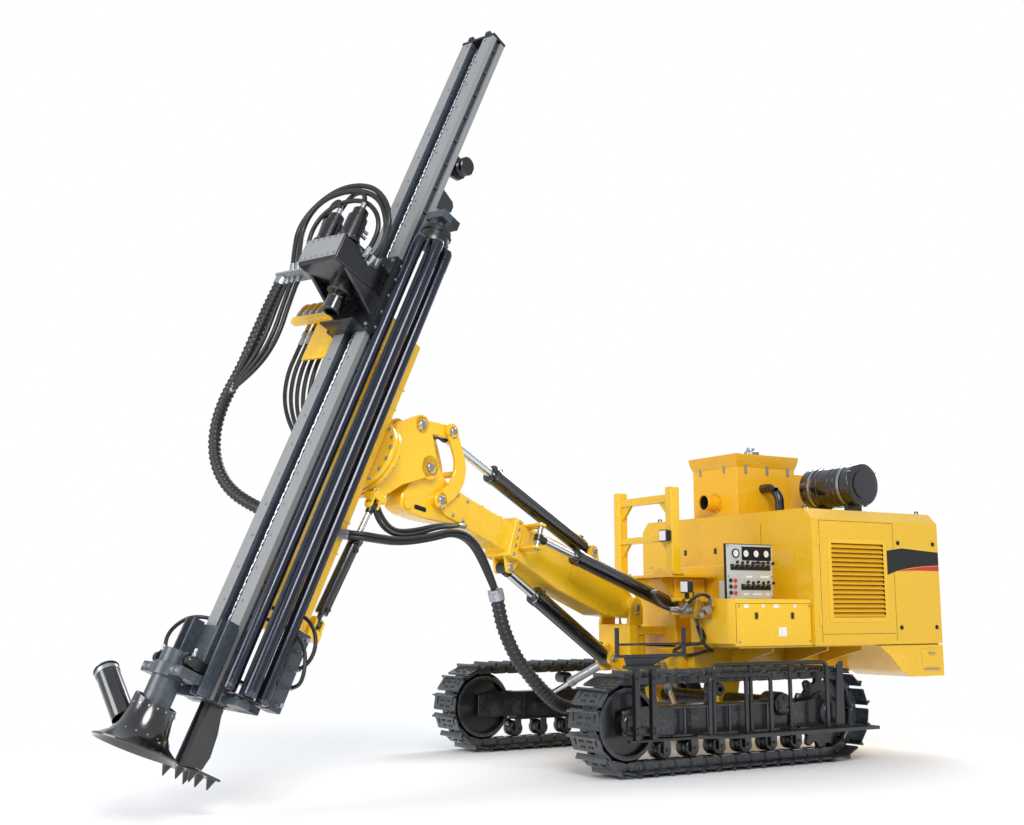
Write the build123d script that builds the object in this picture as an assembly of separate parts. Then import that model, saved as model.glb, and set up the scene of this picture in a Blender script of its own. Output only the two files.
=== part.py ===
from build123d import *
import math
import os

# Crawler rig for down-the-hole drilling, in millimetres.
# X points forward, Y to the operator's side, Z up. The working frame has its zero between the tracks
# on the ground; at the end everything is moved so that the origin is the middle of the box, at the base.

# Tracks
TRACK_PITCH = 134.4
TRACK_SHOES = 40
SHOE_WIDTH = 337.0
SHOE_PLATE = 10.0
GROUSER = 25.0
LINK_HEIGHT = 62.0
TRACK_GAUGE = 1882.0
WHEEL_BASE = 1820.0
WHEEL_Z = 341.0
SPROCKET_TEETH = 13
ROLLER_R = 60.0
ROLLER_COUNT = 6
ROLLER_END = 310.0
FIT = 0.3

TRACK_Y = TRACK_GAUGE / 2
SHOE_TOP_R = WHEEL_Z - GROUSER
LINK_TOP_R = SHOE_TOP_R - SHOE_PLATE
LINK_BOTTOM_R = LINK_TOP_R - LINK_HEIGHT
LINK_GAP = 52.0
LINK_WIDE = 36.0

# Track frames
FRAME_END = WHEEL_BASE / 2 - 298
FRAME_Z0 = 236.0
FRAME_Z1 = 445.0
FRAME_REACH = 58.0
FRAME_OUT = TRACK_Y + FRAME_REACH
FRAME_WIDE = 128.0
YOKE_WIDE = 150.0
YOKE_PLATE = 16.0
PIVOT_X = -450.0
PIVOT_Z = 420.0
PIVOT_R = 55.0

# Hood over the engine
HOOD_FRONT = -800.0
HOOD_REAR = -2180.0
HOOD_HALF = 1025.0
HOOD_Z0 = 825.0
HOOD_SHOULDER = 1763.0
HOOD_TOP = 1842.0
HOOD_CHAMFER = 75.0
SHEET = 5.0
FLOOR = 10.0
LOUVRE_X0 = -1585.0
LOUVRE_X1 = -958.0
LOUVRE_Z0 = 992.0
LOUVRE_Z1 = 1619.0
LOUVRE_SLATS = 15

# Chassis
BEAM_Y = 300.0
BEAM_WIDE = 150.0
BEAM_Z0 = 600.0
BEAM_FRONT = -120.0
BEAM_REAR = -2150.0
COLUMN_REAR = -420.0
COLUMN_HALF = 250.0
COLUMN_TOP = 1330.0
DECK_Z0 = HOOD_Z0 - FLOOR
CONSOLE_X1 = -55.0
CONSOLE_Y1 = HOOD_HALF - 25
CONSOLE_Y0 = CONSOLE_Y1 - 440
CONSOLE_Z1 = 1163.0
TANK_X0 = -790.0
TANK_X1 = -430.0
TANK_HALF = 520.0
TANK_Z1 = 1425.0

# Swing post and boom, seen from the post's own axis
POST_X = 100.0
POST_R = 95.0
POST_BORE = 45.0
LUG_R = 120.0
LUG_LOW = (555.0, 615.0)
LUG_HIGH = (900.0, 960.0)
SWING_REST = 18.0
BOOM_REST = 18.5
FOOT_R = 140.0
FOOT_Z = 1100.0
EAR_GAP = 115.0
EAR_PLATE = 28.0
EAR_R = 80.0
PIN_R = 30.0
EYE_HALF = 41.0
LIFT_BASE = (350.0, 731.0)
BOOM_HALF = 95.0
BOOM_INNER_HALF = 82.0
SLACK = 0.5

# Pins along the boom, as (forward, up) from the foot pin
PIN_A = (2383.0, 126.0)
PIN_C = (2264.0, 432.0)
PIN_D = (2219.0, -33.0)
PIN_E = (539.0, 254.0)
PIN_G = (1390.0, -184.0)
SWING_LUG = (1382.0, 27.0)
SWING_LUG_SIDE = 250.0
SWING_BASE = (-20.0, 360.0, 1110.0)

# Mast and what carries it
MAST_LEAN = 24.2
MAST_ROLL = -3.4
FACE_FROM_A = 886.0
PIVOT_FROM_A = -140.0
PIVOT_S = -317.5
BRACKET_HALF = 120.0
BRACKET_PLATE = 24.0
PIN_B = (177.0, 211.0)
FLANGE_R = 240.0
FLANGE_V = 36.0
BEAM_W = 296.0
BEAM_D = 121.0
BEAM_S0 = -2050.0
BEAM_S1 = 2700.0
RAIL_FLANGE = 40.0
RAIL_WEB = 128.0
SLOT_WIDE = 104.0
SLOT_DEEP = 60.0
CARRIER_BACK = -450.0
CARRIER_FRONT = -320.0
CARRIER_HALF = 125.0
CARRIER_S0 = -1420.0
CARRIER_S1 = 450.0
SHOE_S = ((-1400.0, -1180.0), (230.0, 450.0))
DRILL_V = 185.0
SPINDLE_R = 46.0
MAG_V = -100.0
MAG_U = 290.0
MAG_R = 105.0
DRUM_R = 100.0
PIPE_R = 38.0
PIPE_ANGLES = (5.0, 70.0, 135.0)
PIPE_S = (-1995.0, 950.0)


def direction(yaw, pitch):
    """A unit vector turned about Z by yaw and raised by pitch."""
    level = math.cos(math.radians(pitch))
    return Vector(level * math.cos(math.radians(yaw)), level * math.sin(math.radians(yaw)), math.sin(math.radians(pitch)))


FORWARD = direction(SWING_REST, 0)
SIDE = direction(SWING_REST + 90, 0)
UP = Vector(0, 0, 1)

MACHINE = Plane.XY
POST = Plane(origin=(POST_X, 0, 0), x_dir=FORWARD, z_dir=UP)
BOOM_DIR = direction(SWING_REST, BOOM_REST)
BOOM_UP = direction(SWING_REST, BOOM_REST + 90)
FOOT_POINT = Vector(POST_X, 0, FOOT_Z) + FORWARD * FOOT_R
BOOM = Plane(origin=FOOT_POINT, x_dir=BOOM_DIR, z_dir=BOOM_UP)

POINT_A = FOOT_POINT + BOOM_DIR * PIN_A[0] + BOOM_UP * PIN_A[1]
MAST_N = direction(SWING_REST, MAST_LEAN)
MAST_T0 = direction(SWING_REST, MAST_LEAN + 90)
BRACKET = Plane(origin=POINT_A, x_dir=MAST_N, z_dir=MAST_T0)
ROLL = math.radians(MAST_ROLL)
MAST_T = MAST_T0 * math.cos(ROLL) - SIDE * math.sin(ROLL)
PIVOT_POINT = POINT_A + MAST_N * FACE_FROM_A + MAST_T0 * PIVOT_FROM_A
MAST = Plane(origin=PIVOT_POINT - MAST_T * PIVOT_S, x_dir=MAST_N, z_dir=MAST_T)


def place(shape, frame):
    """Move a shape that was drawn at zero into a frame."""
    return shape.moved(frame.location)


def block(frame, x0, x1, y0, y1, z0, z1):
    """A box between two corners of a frame."""
    return place(Pos((x0 + x1) / 2, (y0 + y1) / 2, (z0 + z1) / 2) * Box(x1 - x0, y1 - y0, z1 - z0), frame)


def round_bar(frame, start, end, radius, bore=0):
    """A straight round bar or tube between two points of a frame."""
    a = Vector(*start)
    b = Vector(*end)
    run = Plane(origin=a, z_dir=b - a)
    length = (b - a).length
    bar = Cylinder(radius, length, align=(Align.CENTER, Align.CENTER, Align.MIN))
    if bore:
        bar -= Cylinder(bore, length, align=(Align.CENTER, Align.CENTER, Align.MIN))
    return place(bar.moved(run.location), frame)


def side_plate(frame, points, y0, y1):
    """A flat outline of (x, z) points, as thick as from y0 to y1."""
    face = make_face(Polyline(*[(x, z) for x, z in points], close=True).edges())
    upright = Plane(origin=(0, y1, 0), x_dir=(1, 0, 0), z_dir=(0, -1, 0))
    return place(extrude(face, y1 - y0).moved(upright.location), frame)


def level_plate(frame, points, z0, z1):
    """A flat outline of (x, y) points, as thick as from z0 to z1."""
    face = make_face(Polyline(*points, close=True).edges())
    return place(extrude(face, z1 - z0).moved(Location((0, 0, z0))), frame)


def front_plate(frame, points, x0, x1):
    """A flat outline of (y, z) points, as thick as from x0 to x1."""
    face = make_face(Polyline(*points, close=True).edges())
    upright = Plane(origin=(x0, 0, 0), x_dir=(0, 1, 0), z_dir=(1, 0, 0))
    return place(extrude(face, x1 - x0).moved(upright.location), frame)


def cross_pin(frame, x, z, y0, y1, radius, bore=0):
    """A pin or tube that lies across a frame."""
    return round_bar(frame, (x, y0, z), (x, y1, z), radius, bore)


def mirrored(shape):
    """The same shape on the other side of the machine."""
    return mirror(shape, Plane.XZ)


# Tracks

def loop_point(way, radius):
    """A point of the track's loop and its outward angle, by the way run along the loop."""
    half = WHEEL_BASE / 2
    arc = math.pi * (SHOE_TOP_R - SHOE_PLATE - LINK_HEIGHT / 2)
    way = way % (2 * WHEEL_BASE + 2 * arc)
    if way < WHEEL_BASE:
        return half - way, WHEEL_Z - radius, -90.0
    way -= WHEEL_BASE
    if way < arc:
        turn = -90 - 180 * way / arc
        spot = (-half + radius * math.cos(math.radians(turn)), WHEEL_Z + radius * math.sin(math.radians(turn)))
        return spot[0], spot[1], turn
    way -= arc
    if way < WHEEL_BASE:
        return -half + way, WHEEL_Z + radius, 90.0
    way -= WHEEL_BASE
    turn = 90 - 180 * way / arc
    spot = (half + radius * math.cos(math.radians(turn)), WHEEL_Z + radius * math.sin(math.radians(turn)))
    return spot[0], spot[1], turn


# One shoe's outline as (share of the pitch along the loop, height over the plate's inner side)
SHOE_OUTLINE = ((-0.47, SHOE_PLATE), (-0.40, SHOE_PLATE + GROUSER), (-0.31, SHOE_PLATE + GROUSER),
                (-0.24, SHOE_PLATE), (0.47, SHOE_PLATE))


def stadium(radius):
    """The inner outline of the loop at a radius."""
    half = WHEEL_BASE / 2
    shape = Pos(0, WHEEL_Z) * Rectangle(WHEEL_BASE, 2 * radius)
    shape += Pos(half, WHEEL_Z) * Circle(radius)
    shape += Pos(-half, WHEEL_Z) * Circle(radius)
    return shape


def upright(sketch, y0, y1):
    """Extrude a sketch drawn as (x, z) from y0 to y1."""
    frame = Plane(origin=(0, y1, 0), x_dir=(1, 0, 0), z_dir=(0, -1, 0))
    return extrude(sketch, y1 - y0).moved(frame.location)


def track(side):
    """One track as a closed loop with its shoes in its outline."""
    points = []
    loop = 2 * WHEEL_BASE + 2 * math.pi * (LINK_TOP_R - LINK_HEIGHT / 2)
    for number in range(TRACK_SHOES):
        x, z, turn = loop_point(loop * (number + 0.5) / TRACK_SHOES, LINK_TOP_R)
        out = (math.cos(math.radians(turn)), math.sin(math.radians(turn)))
        along = (out[1], -out[0])
        for share, height in SHOE_OUTLINE:
            reach = share * TRACK_PITCH
            points.append((x + along[0] * reach + out[0] * height, z + along[1] * reach + out[1] * height))
    shoes = make_face(Polyline(*points, close=True).edges()) - stadium(LINK_TOP_R - 6)
    body = upright(shoes, -SHOE_WIDTH / 2, SHOE_WIDTH / 2)
    ring = stadium(LINK_TOP_R - 3) - stadium(LINK_BOTTOM_R)
    for low in (-LINK_GAP / 2 - LINK_WIDE, LINK_GAP / 2):
        body += upright(ring, low, low + LINK_WIDE)
    return body.moved(Location((0, side * TRACK_Y, 0)))


def idler():
    """A front idler with its middle flange between the links."""
    outer = LINK_BOTTOM_R - FIT
    profile = Polyline((30, -75), (30, 75), (outer - 30, 75), (outer, 62), (outer, LINK_GAP / 2 - 4),
                       (outer + 26, 14), (outer + 26, -14), (outer, 4 - LINK_GAP / 2), (outer, -62),
                       (outer - 30, -75), close=True)
    wheel = revolve(make_face(profile.edges()).moved(Plane.XZ.location), Axis.Z)
    recess = Pos(0, 0, 75) * Cylinder(outer - 60, 60) - Pos(0, 0, 75) * Cylinder(85, 60)
    wheel -= recess
    wheel -= mirror(recess, Plane.XY)
    wheel += Cylinder(60, YOKE_WIDE - 2 * FIT)
    return wheel.rotate(Axis.X, 90)


def sprocket():
    """A rear sprocket whose teeth stand between the links, with its hub."""
    points = []
    for tooth in range(SPROCKET_TEETH):
        for part, radius in ((-0.32, LINK_BOTTOM_R - 14), (-0.14, LINK_BOTTOM_R + 34), (0.14, LINK_BOTTOM_R + 34), (0.32, LINK_BOTTOM_R - 14)):
            turn = 2 * math.pi * (tooth + part) / SPROCKET_TEETH
            points.append((radius * math.cos(turn), radius * math.sin(turn)))
    wheel = extrude(make_face(Polyline(*points, close=True).edges()), 20, both=True)
    wheel += Cylinder(150, YOKE_WIDE - 2 * FIT)
    return wheel.rotate(Axis.X, 90)


def wheels():
    """Both idlers and both sprockets."""
    shapes = []
    for side in (1, -1):
        shapes.append(idler().moved(Location((WHEEL_BASE / 2, side * TRACK_Y, WHEEL_Z))))
        shapes.append(sprocket().moved(Location((-WHEEL_BASE / 2, side * TRACK_Y, WHEEL_Z))))
    return shapes


def rollers():
    """Bottom rollers under the frames and one top roller over each."""
    shapes = []
    low = WHEEL_Z - LINK_BOTTOM_R + ROLLER_R + FIT
    high = WHEEL_Z + LINK_BOTTOM_R - 45 - FIT
    first = ROLLER_END - WHEEL_BASE / 2
    step = -2 * first / (ROLLER_COUNT - 1)
    for side in (1, -1):
        row = Pos(0, 0, FRAME_Z0 - low - 4) * Box(40 - 2 * first, 172, 8)
        for number in range(ROLLER_COUNT):
            x = first + step * number
            row += (Pos(x, 0, 0) * Cylinder(ROLLER_R, 120).rotate(Axis.X, 90))
            row += Pos(x, 0, 0) * Box(30, 172, 30)
            for y in (-79, 79):
                row += Pos(x, y, (FRAME_Z0 - low) / 2 - 12) * Box(56, 14, FRAME_Z0 - low + 20)
        shapes.append(row.moved(Location((0, side * TRACK_Y, low))))
        foot = Pos(0, -side * 74, (FRAME_Z1 - high) / 2 + 12) * Box(60, 16, high - FRAME_Z1 + 24)
        shape = Cylinder(45, 134).rotate(Axis.X, 90) + foot
        foot_plate = Pos(0, -side * 60, FRAME_Z1 - high + 6) * Box(60, 44, 12)
        shape += foot_plate
        shapes.append(shape.moved(Location((110, side * TRACK_Y, high))))
    return shapes


def track_frame(side):
    """One welded track frame with the idler's yoke in front and the motor's plates behind."""
    inner = FRAME_OUT - FRAME_WIDE
    body = block(MACHINE, -FRAME_END, FRAME_END, inner, FRAME_OUT, FRAME_Z0, FRAME_Z1)
    middle = TRACK_Y
    end = WHEEL_BASE / 2
    for low in (-YOKE_WIDE / 2 - YOKE_PLATE, YOKE_WIDE / 2):
        front = [(FRAME_END - 70, 255), (FRAME_END - 70, 445), (end - 110, 455), (end + 60, 430), (end + 60, 262)]
        rear = [(70 - FRAME_END, 262), (70 - FRAME_END, 430), (120 - end, 450), (-end - 70, 420), (-end - 70, 262), (120 - end, 240)]
        body += side_plate(MACHINE, front, middle + low, middle + low + YOKE_PLATE)
        body += side_plate(MACHINE, rear, middle + low, middle + low + YOKE_PLATE)
    for x in (70 - FRAME_END, FRAME_END - 70):
        low, high = sorted((x, math.copysign(FRAME_END, x)))
        body += block(MACHINE, low, high, middle - YOKE_WIDE / 2 - 1, middle + YOKE_WIDE / 2 + 1, 262, 420)
    body -= cross_pin(MACHINE, PIVOT_X, PIVOT_Z, inner - 100, FRAME_OUT + 100, PIVOT_R + FIT)
    body -= block(MACHINE, PIVOT_X - 200, PIVOT_X + 200, inner - 50, FRAME_OUT + 50, PIVOT_Z + PIVOT_R + 20, 600)
    body += cross_pin(MACHINE, PIVOT_X, PIVOT_Z, inner, FRAME_OUT, PIVOT_R + 30) - cross_pin(MACHINE, PIVOT_X, PIVOT_Z, inner - 100, FRAME_OUT + 100, PIVOT_R + FIT)
    return body if side > 0 else mirrored(body)


# Chassis

def chassis_frame():
    """Main beams, deck, front column with the post's lugs, and the pivot shaft of the tracks."""
    body = block(MACHINE, HOOD_REAR, BEAM_FRONT, -BEAM_Y - BEAM_WIDE, BEAM_Y + BEAM_WIDE, DECK_Z0 - 10, HOOD_Z0)
    for side in (1, -1):
        low, high = sorted((side * BEAM_Y, side * (BEAM_Y + BEAM_WIDE)))
        body += block(MACHINE, BEAM_REAR, BEAM_FRONT, low, high, BEAM_Z0, DECK_Z0)
        deck = sorted((side * (BEAM_Y + BEAM_WIDE - 1), side * (HOOD_HALF - 40)))
        body += block(MACHINE, HOOD_REAR, CONSOLE_X1 - 40, deck[0], deck[1], DECK_Z0, HOOD_Z0)
        hanger = [(PIVOT_X - 130, BEAM_Z0 + 1), (PIVOT_X + 130, BEAM_Z0 + 1), (PIVOT_X + 80, PIVOT_Z - 60), (PIVOT_X - 80, PIVOT_Z - 60)]
        body += side_plate(MACHINE, hanger, low, high)
        for x in (-1420.0, -1050.0, -500.0):
            rib = [(side * (BEAM_Y + BEAM_WIDE - 1), DECK_Z0 + 1), (side * (HOOD_HALF - 120), DECK_Z0 + 1),
                   (side * (HOOD_HALF - 120), DECK_Z0 - 30), (side * (BEAM_Y + BEAM_WIDE - 1), DECK_Z0 - 150)]
            body += front_plate(MACHINE, rib, x, x + 16)
    body += block(MACHINE, COLUMN_REAR, BEAM_FRONT, -COLUMN_HALF, COLUMN_HALF, BEAM_Z0 - 45, COLUMN_TOP)
    body += block(MACHINE, COLUMN_REAR, 20, -380, 380, COLUMN_TOP - 1, COLUMN_TOP + 20)
    for low, high in (LUG_LOW, LUG_HIGH):
        body += block(MACHINE, BEAM_FRONT - 1, POST_X, -LUG_R, LUG_R, low, high)
        body += round_bar(POST, (0, 0, low), (0, 0, high), LUG_R)
        body -= round_bar(POST, (0, 0, low - 1), (0, 0, high + 1), POST_BORE + FIT)
    body += cross_pin(MACHINE, PIVOT_X, PIVOT_Z, -FRAME_OUT - 12, FRAME_OUT + 12, PIVOT_R)
    for side in (1, -1):
        cap = sorted((side * (FRAME_OUT + FIT), side * (FRAME_OUT + 24)))
        body += cross_pin(MACHINE, PIVOT_X, PIVOT_Z, cap[0], cap[1], PIVOT_R + 20)
    return body


def swing_bracket():
    """The column's bracket for the swing cylinder: two lugs and the block between them."""
    x, y, z = SWING_BASE
    body = block(MACHINE, x - 160, x - 130, COLUMN_HALF, y + 60, z - 41, z + 41)
    outline = [(x - 160, COLUMN_HALF), (x - 160, y + 60), (x - 60, y + 60), (x, y + 33), (x, y - 33), (x - 30, COLUMN_HALF + 14), (x - 90, COLUMN_HALF)]
    for low in (z - 62, z + 40):
        body += level_plate(MACHINE, outline, low, low + 22)
        body += round_bar(MACHINE, (x, y, low), (x, y, low + 22), 34)
        body -= round_bar(MACHINE, (x, y, low - 1), (x, y, low + 23), 22 + FIT)
    return body


def tilt_cylinders():
    """Two tilt cylinders between the chassis and the fronts of the track frames."""
    shapes = []
    for side in (1, -1):
        start = (90, side * 330, 700)
        end = (360, side * (FRAME_OUT - FRAME_WIDE - 44), 400)
        bar = round_bar(MACHINE, start, end, 32)
        foot = sorted((side * (FRAME_OUT - FRAME_WIDE), side * (FRAME_OUT - FRAME_WIDE - 70)))
        bar += block(MACHINE, 320, 400, foot[0], foot[1], 345, 425)
        head = sorted((side * 251, side * 380))
        bar += block(MACHINE, -119, 130, head[0], head[1], 650, 745)
        shapes.append(bar)
    return shapes


def hood_top():
    """The roof with its slanting shoulders."""
    half = HOOD_HALF
    outer = [(half, HOOD_SHOULDER), (half - HOOD_CHAMFER, HOOD_TOP), (HOOD_CHAMFER - half, HOOD_TOP), (-half, HOOD_SHOULDER)]
    inner = [(SHEET - half, HOOD_SHOULDER), (HOOD_CHAMFER - half + 2, HOOD_TOP - SHEET), (half - HOOD_CHAMFER - 2, HOOD_TOP - SHEET),
             (half - SHEET, HOOD_SHOULDER)]
    return front_plate(MACHINE, outer + inner, HOOD_REAR, HOOD_FRONT)


def hood_end(x0, x1):
    """A front or rear wall inside the roof and the sides."""
    half = HOOD_HALF - SHEET
    points = [(-half, HOOD_Z0), (half, HOOD_Z0), (half, HOOD_SHOULDER), (half - HOOD_CHAMFER + 3, HOOD_TOP - SHEET),
              (HOOD_CHAMFER - 3 - half, HOOD_TOP - SHEET), (-half, HOOD_SHOULDER)]
    return front_plate(MACHINE, points, x0, x1)


def hood_side(side):
    """A side wall with the opening for its louvres."""
    wall = block(MACHINE, HOOD_REAR, HOOD_FRONT, HOOD_HALF - SHEET, HOOD_HALF, HOOD_Z0, HOOD_SHOULDER)
    wall -= block(MACHINE, LOUVRE_X0, LOUVRE_X1, HOOD_HALF - 50, HOOD_HALF + 50, LOUVRE_Z0, LOUVRE_Z1)
    wall += block(MACHINE, HOOD_REAR + SHEET, HOOD_FRONT - SHEET, HOOD_HALF - 40, HOOD_HALF - SHEET, HOOD_Z0, HOOD_Z0 + 30)
    return wall if side > 0 else mirrored(wall)


def louvres():
    """The two slatted panels in the hood's sides."""
    shapes = []
    frame = 38.0
    pitch = (LOUVRE_Z1 - LOUVRE_Z0 - 2 * frame) / LOUVRE_SLATS
    panel = block(MACHINE, LOUVRE_X0 + FIT, LOUVRE_X1 - FIT, HOOD_HALF - SHEET, HOOD_HALF + 3, LOUVRE_Z0 + FIT, LOUVRE_Z1 - FIT)
    panel -= block(MACHINE, LOUVRE_X0 + frame, LOUVRE_X1 - frame, HOOD_HALF - 50, HOOD_HALF + 50, LOUVRE_Z0 + frame, LOUVRE_Z1 - frame)
    for number in range(LOUVRE_SLATS):
        z = LOUVRE_Z0 + frame + pitch * (number + 0.5)
        slat = [(HOOD_HALF - 22, z + 14), (HOOD_HALF - 18, z + 16), (HOOD_HALF + 2, z - 8), (HOOD_HALF - 2, z - 10)]
        panel += front_plate(MACHINE, slat, LOUVRE_X0 + frame - 2, LOUVRE_X1 - frame + 2)
    shapes.append(panel)
    shapes.append(mirrored(panel))
    return shapes


def engine_block():
    """The engine, one plain block on the deck."""
    return block(MACHINE, -1800, -1050, -330, 330, HOOD_Z0, 1520)


def rear_box():
    """The low box behind the tracks, hollow, with an opening on the operator's side."""
    outline = [(HOOD_REAR, REAR_Z0), (HOOD_REAR, DECK_Z0)] + [(HOOD_REAR + reach, REAR_Z0 + rise) for reach, rise in REAR_ARCH]
    inside = [(HOOD_REAR + 8, REAR_Z0 + 8), (HOOD_REAR + 8, DECK_Z0 - 8)]
    inside += [(HOOD_REAR + reach - 12, min(REAR_Z0 + rise + 6, DECK_Z0 - 8)) for reach, rise in REAR_ARCH]
    shapes = []
    box = side_plate(MACHINE, outline, BEAM_Y + BEAM_WIDE, HOOD_HALF)
    box -= side_plate(MACHINE, inside, BEAM_Y + BEAM_WIDE + 8, HOOD_HALF - 4)
    box -= block(MACHINE, DOOR_X0, DOOR_X1, HOOD_HALF - 20, HOOD_HALF + 5, DOOR_Z0, DOOR_Z1)
    shapes.append(box)
    other = side_plate(MACHINE, outline, BEAM_Y + BEAM_WIDE, HOOD_HALF)
    other -= side_plate(MACHINE, inside, BEAM_Y + BEAM_WIDE + 8, HOOD_HALF - 4)
    shapes.append(mirrored(other))
    return shapes


REAR_Z0 = 575.0
REAR_ARCH = [(710.0, DECK_Z0 - REAR_Z0), (595.0, 160.0), (480.0, 53.0), (370.0, 0.0)]
DOOR_X0 = -2140.0
DOOR_X1 = -1935.0
DOOR_Z0 = 625.0
DOOR_Z1 = 790.0
DOOR_GAP = 0.5
HINGE_R = 6.0
HINGE_Y = HOOD_HALF + 7
HINGE_Z = DOOR_Z0 + DOOR_GAP + HINGE_R


def box_door():
    """The small drop-down door of the rear box, with its handle and hinge."""
    door = block(MACHINE, DOOR_X0 + DOOR_GAP, DOOR_X1 - DOOR_GAP, HOOD_HALF - 6, HOOD_HALF + 2, DOOR_Z0 + DOOR_GAP, DOOR_Z1 - DOOR_GAP)
    handle = block(MACHINE, -2075, -2000, HOOD_HALF + 1, HOOD_HALF + 22, 745, 757)
    handle -= block(MACHINE, -2063, -2012, HOOD_HALF - 4, HOOD_HALF + 14, 740, 760)
    knuckle = round_bar(MACHINE, (DOOR_X0 + 20, HINGE_Y, HINGE_Z), (DOOR_X1 - 20, HINGE_Y, HINGE_Z), HINGE_R)
    return door + handle + knuckle


def console():
    """The control cabinet beside the hood, with the panel that stands on it."""
    body = block(MACHINE, HOOD_FRONT, CONSOLE_X1, CONSOLE_Y0, CONSOLE_Y1, HOOD_Z0, CONSOLE_Z1)
    body -= block(MACHINE, HOOD_FRONT + 20, CONSOLE_X1 - 5, CONSOLE_Y0 + 5, CONSOLE_Y1 - 5, HOOD_Z0 + 5, CONSOLE_Z1 - 5)
    nose = [(CONSOLE_X1 - 1, CONSOLE_Y0), (CONSOLE_X1 - 1, CONSOLE_Y1), (CONSOLE_X1 + 45, CONSOLE_Y1 - 60), (CONSOLE_X1 + 45, CONSOLE_Y0)]
    body += level_plate(MACHINE, nose, HOOD_Z0 + 20, CONSOLE_Z1)
    return body


def control_panel():
    """The upright panel with gauges and two rows of levers."""
    y1 = CONSOLE_Y0 + 170
    panel = block(MACHINE, PANEL_X0, PANEL_X0 + 460, y1 - 30, y1, CONSOLE_Z1, 1572)
    panel += block(MACHINE, PANEL_X0, PANEL_X0 + 460, y1 - 90, y1 - 29, CONSOLE_Z1, 1300)
    for row, (z, count) in enumerate(((1400.0, 8), (1255.0, 6))):
        for number in range(count):
            x = PANEL_X0 + 50 + 50 * number
            panel += side_plate(MACHINE, [(x - 5, z), (x + 5, z), (x + 5, z + 12), (x - 5, z + 12)], y1 - 1, y1 + 62)
            panel += side_plate(MACHINE, [(x - 8, z - 8), (x + 8, z - 8), (x + 8, z + 20), (x - 8, z + 20)], y1 + 48, y1 + 66)
    for number in range(4):
        x = PANEL_X0 + 70 + 100 * number
        panel += round_bar(MACHINE, (x, y1 - 1, 1500), (x, y1 + 12, 1500), 34)
    return panel


PANEL_X0 = -680.0


def hydraulic_tank():
    """The tank between the column and the hood."""
    return block(MACHINE, TANK_X0, TANK_X1, -TANK_HALF, CONSOLE_Y0 - 10, HOOD_Z0, TANK_Z1)


def valve_block():
    """The manifold in front of the console with its ports."""
    body = block(MACHINE, CONSOLE_X1 + 45, 150, 620, 800, 1030, 1140)
    body += round_bar(MACHINE, (150, 660, 1085), (215, 660, 1085), 30)
    body += round_bar(MACHINE, (150, 750, 1085), (200, 750, 1085), 34)
    body += round_bar(MACHINE, (60, 710, 1140), (60, 710, 1215), 34)
    body += round_bar(MACHINE, (60, 799, 1085), (60, 850, 1085), 38)
    return body


def rest_frame():
    """The rest on which the mast lies when the rig travels."""
    body = block(MACHINE, -85, -5, -370, -290, COLUMN_TOP + 20, REST_TOP)
    body += block(MACHINE, -85, -5, 290, 370, COLUMN_TOP + 20, REST_TOP)
    body += block(MACHINE, -75, -15, -291, 291, 1900, 1960)
    body += block(MACHINE, -75, -15, -291, 291, 1600, 1650)
    for side in (1, -1):
        gusset = [(side * 291, 1901), (side * 291, 1790), (side * 180, 1901)]
        body += front_plate(MACHINE, gusset, -60, -30)
        brace = [(side * 291, 1601), (side * 291, 1500), (side * 200, 1601)]
        body += front_plate(MACHINE, brace, -60, -30)
    return body


REST_TOP = 2015.0


def dust_collector():
    """The dust box on the hood with its flared lid, suction stub, rear chamber and fan motor."""
    body = block(MACHINE, -1530, -890, -430, DUST_Y1, HOOD_TOP, DUST_Z1 + 1)
    neck = Plane(origin=(-1210, (DUST_Y1 - 430) / 2, DUST_Z1)) * Rectangle(640, DUST_Y1 + 430)
    rim = Plane(origin=(-1210, (DUST_Y1 - 430) / 2, DUST_Z1 + 90)) * Rectangle(690, DUST_Y1 + 480)
    body += loft([neck, rim])
    body += extrude(rim, 14)
    body += block(MACHINE, -1660, -1529, -400, DUST_Y1 - 20, HOOD_TOP, DUST_Z1 - 30)
    stub = round_bar(MACHINE, (-901, -150, 1960), (-760, -150, 1960), STUB_R + 6)
    body += stub
    body -= round_bar(MACHINE, (-960, -150, 1960), (-759, -150, 1960), STUB_R)
    body += round_bar(MACHINE, (-1240, -90, DUST_Z1 + 90), (-1240, -90, DUST_Z1 + 160), 55)
    body += round_bar(MACHINE, (-1240, -90, DUST_Z1 + 159), (-1240, -90, DUST_Z1 + 200), 34)
    return body


STUB_R = 60.0
DUST_Y1 = 120.0
DUST_Z1 = 2245.0


def air_filter():
    """The intake drum on its two saddles."""
    body = round_bar(MACHINE, (-1550, 300, 2065), (-1550, 860, 2065), 168)
    body += round_bar(MACHINE, (-1550, 859, 2065), (-1550, 876, 2065), 120)
    for y in (400, 720):
        body += block(MACHINE, -1620, -1480, y, y + 40, HOOD_TOP, 1960)
    return body


def exhaust():
    """The mitred elbow from the dust box down to the hood."""
    knee = [(-1180, 300, HOOD_TOP), (-1180, 300, 2000), (-1165, 235, 2070), (-1165, DUST_Y1, 2070)]
    pipe = None
    for outside in (38, 33):
        run = None
        for start, end in zip(knee, knee[1:]):
            leg = round_bar(MACHINE, start, end, outside)
            run = leg if run is None else run + leg
        for corner in knee[1:3]:
            run += Pos(*corner) * Sphere(outside)
        pipe = run if pipe is None else pipe - run
    return pipe


def lamps():
    """The work lamps on the rest frame and by the console."""
    shapes = []
    for x, y, z in ((5, 330, 1640), (110, 700, 1250)):
        body = block(MACHINE, x, x + 50, y - 45, y + 45, z - 45, z + 45)
        shapes.append(body)
    shapes[0] += block(MACHINE, -5, 6, 315, 345, 1620, 1660)
    shapes[1] += block(MACHINE, 118, 150, 690, 710, 1140, 1206)
    return shapes


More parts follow.
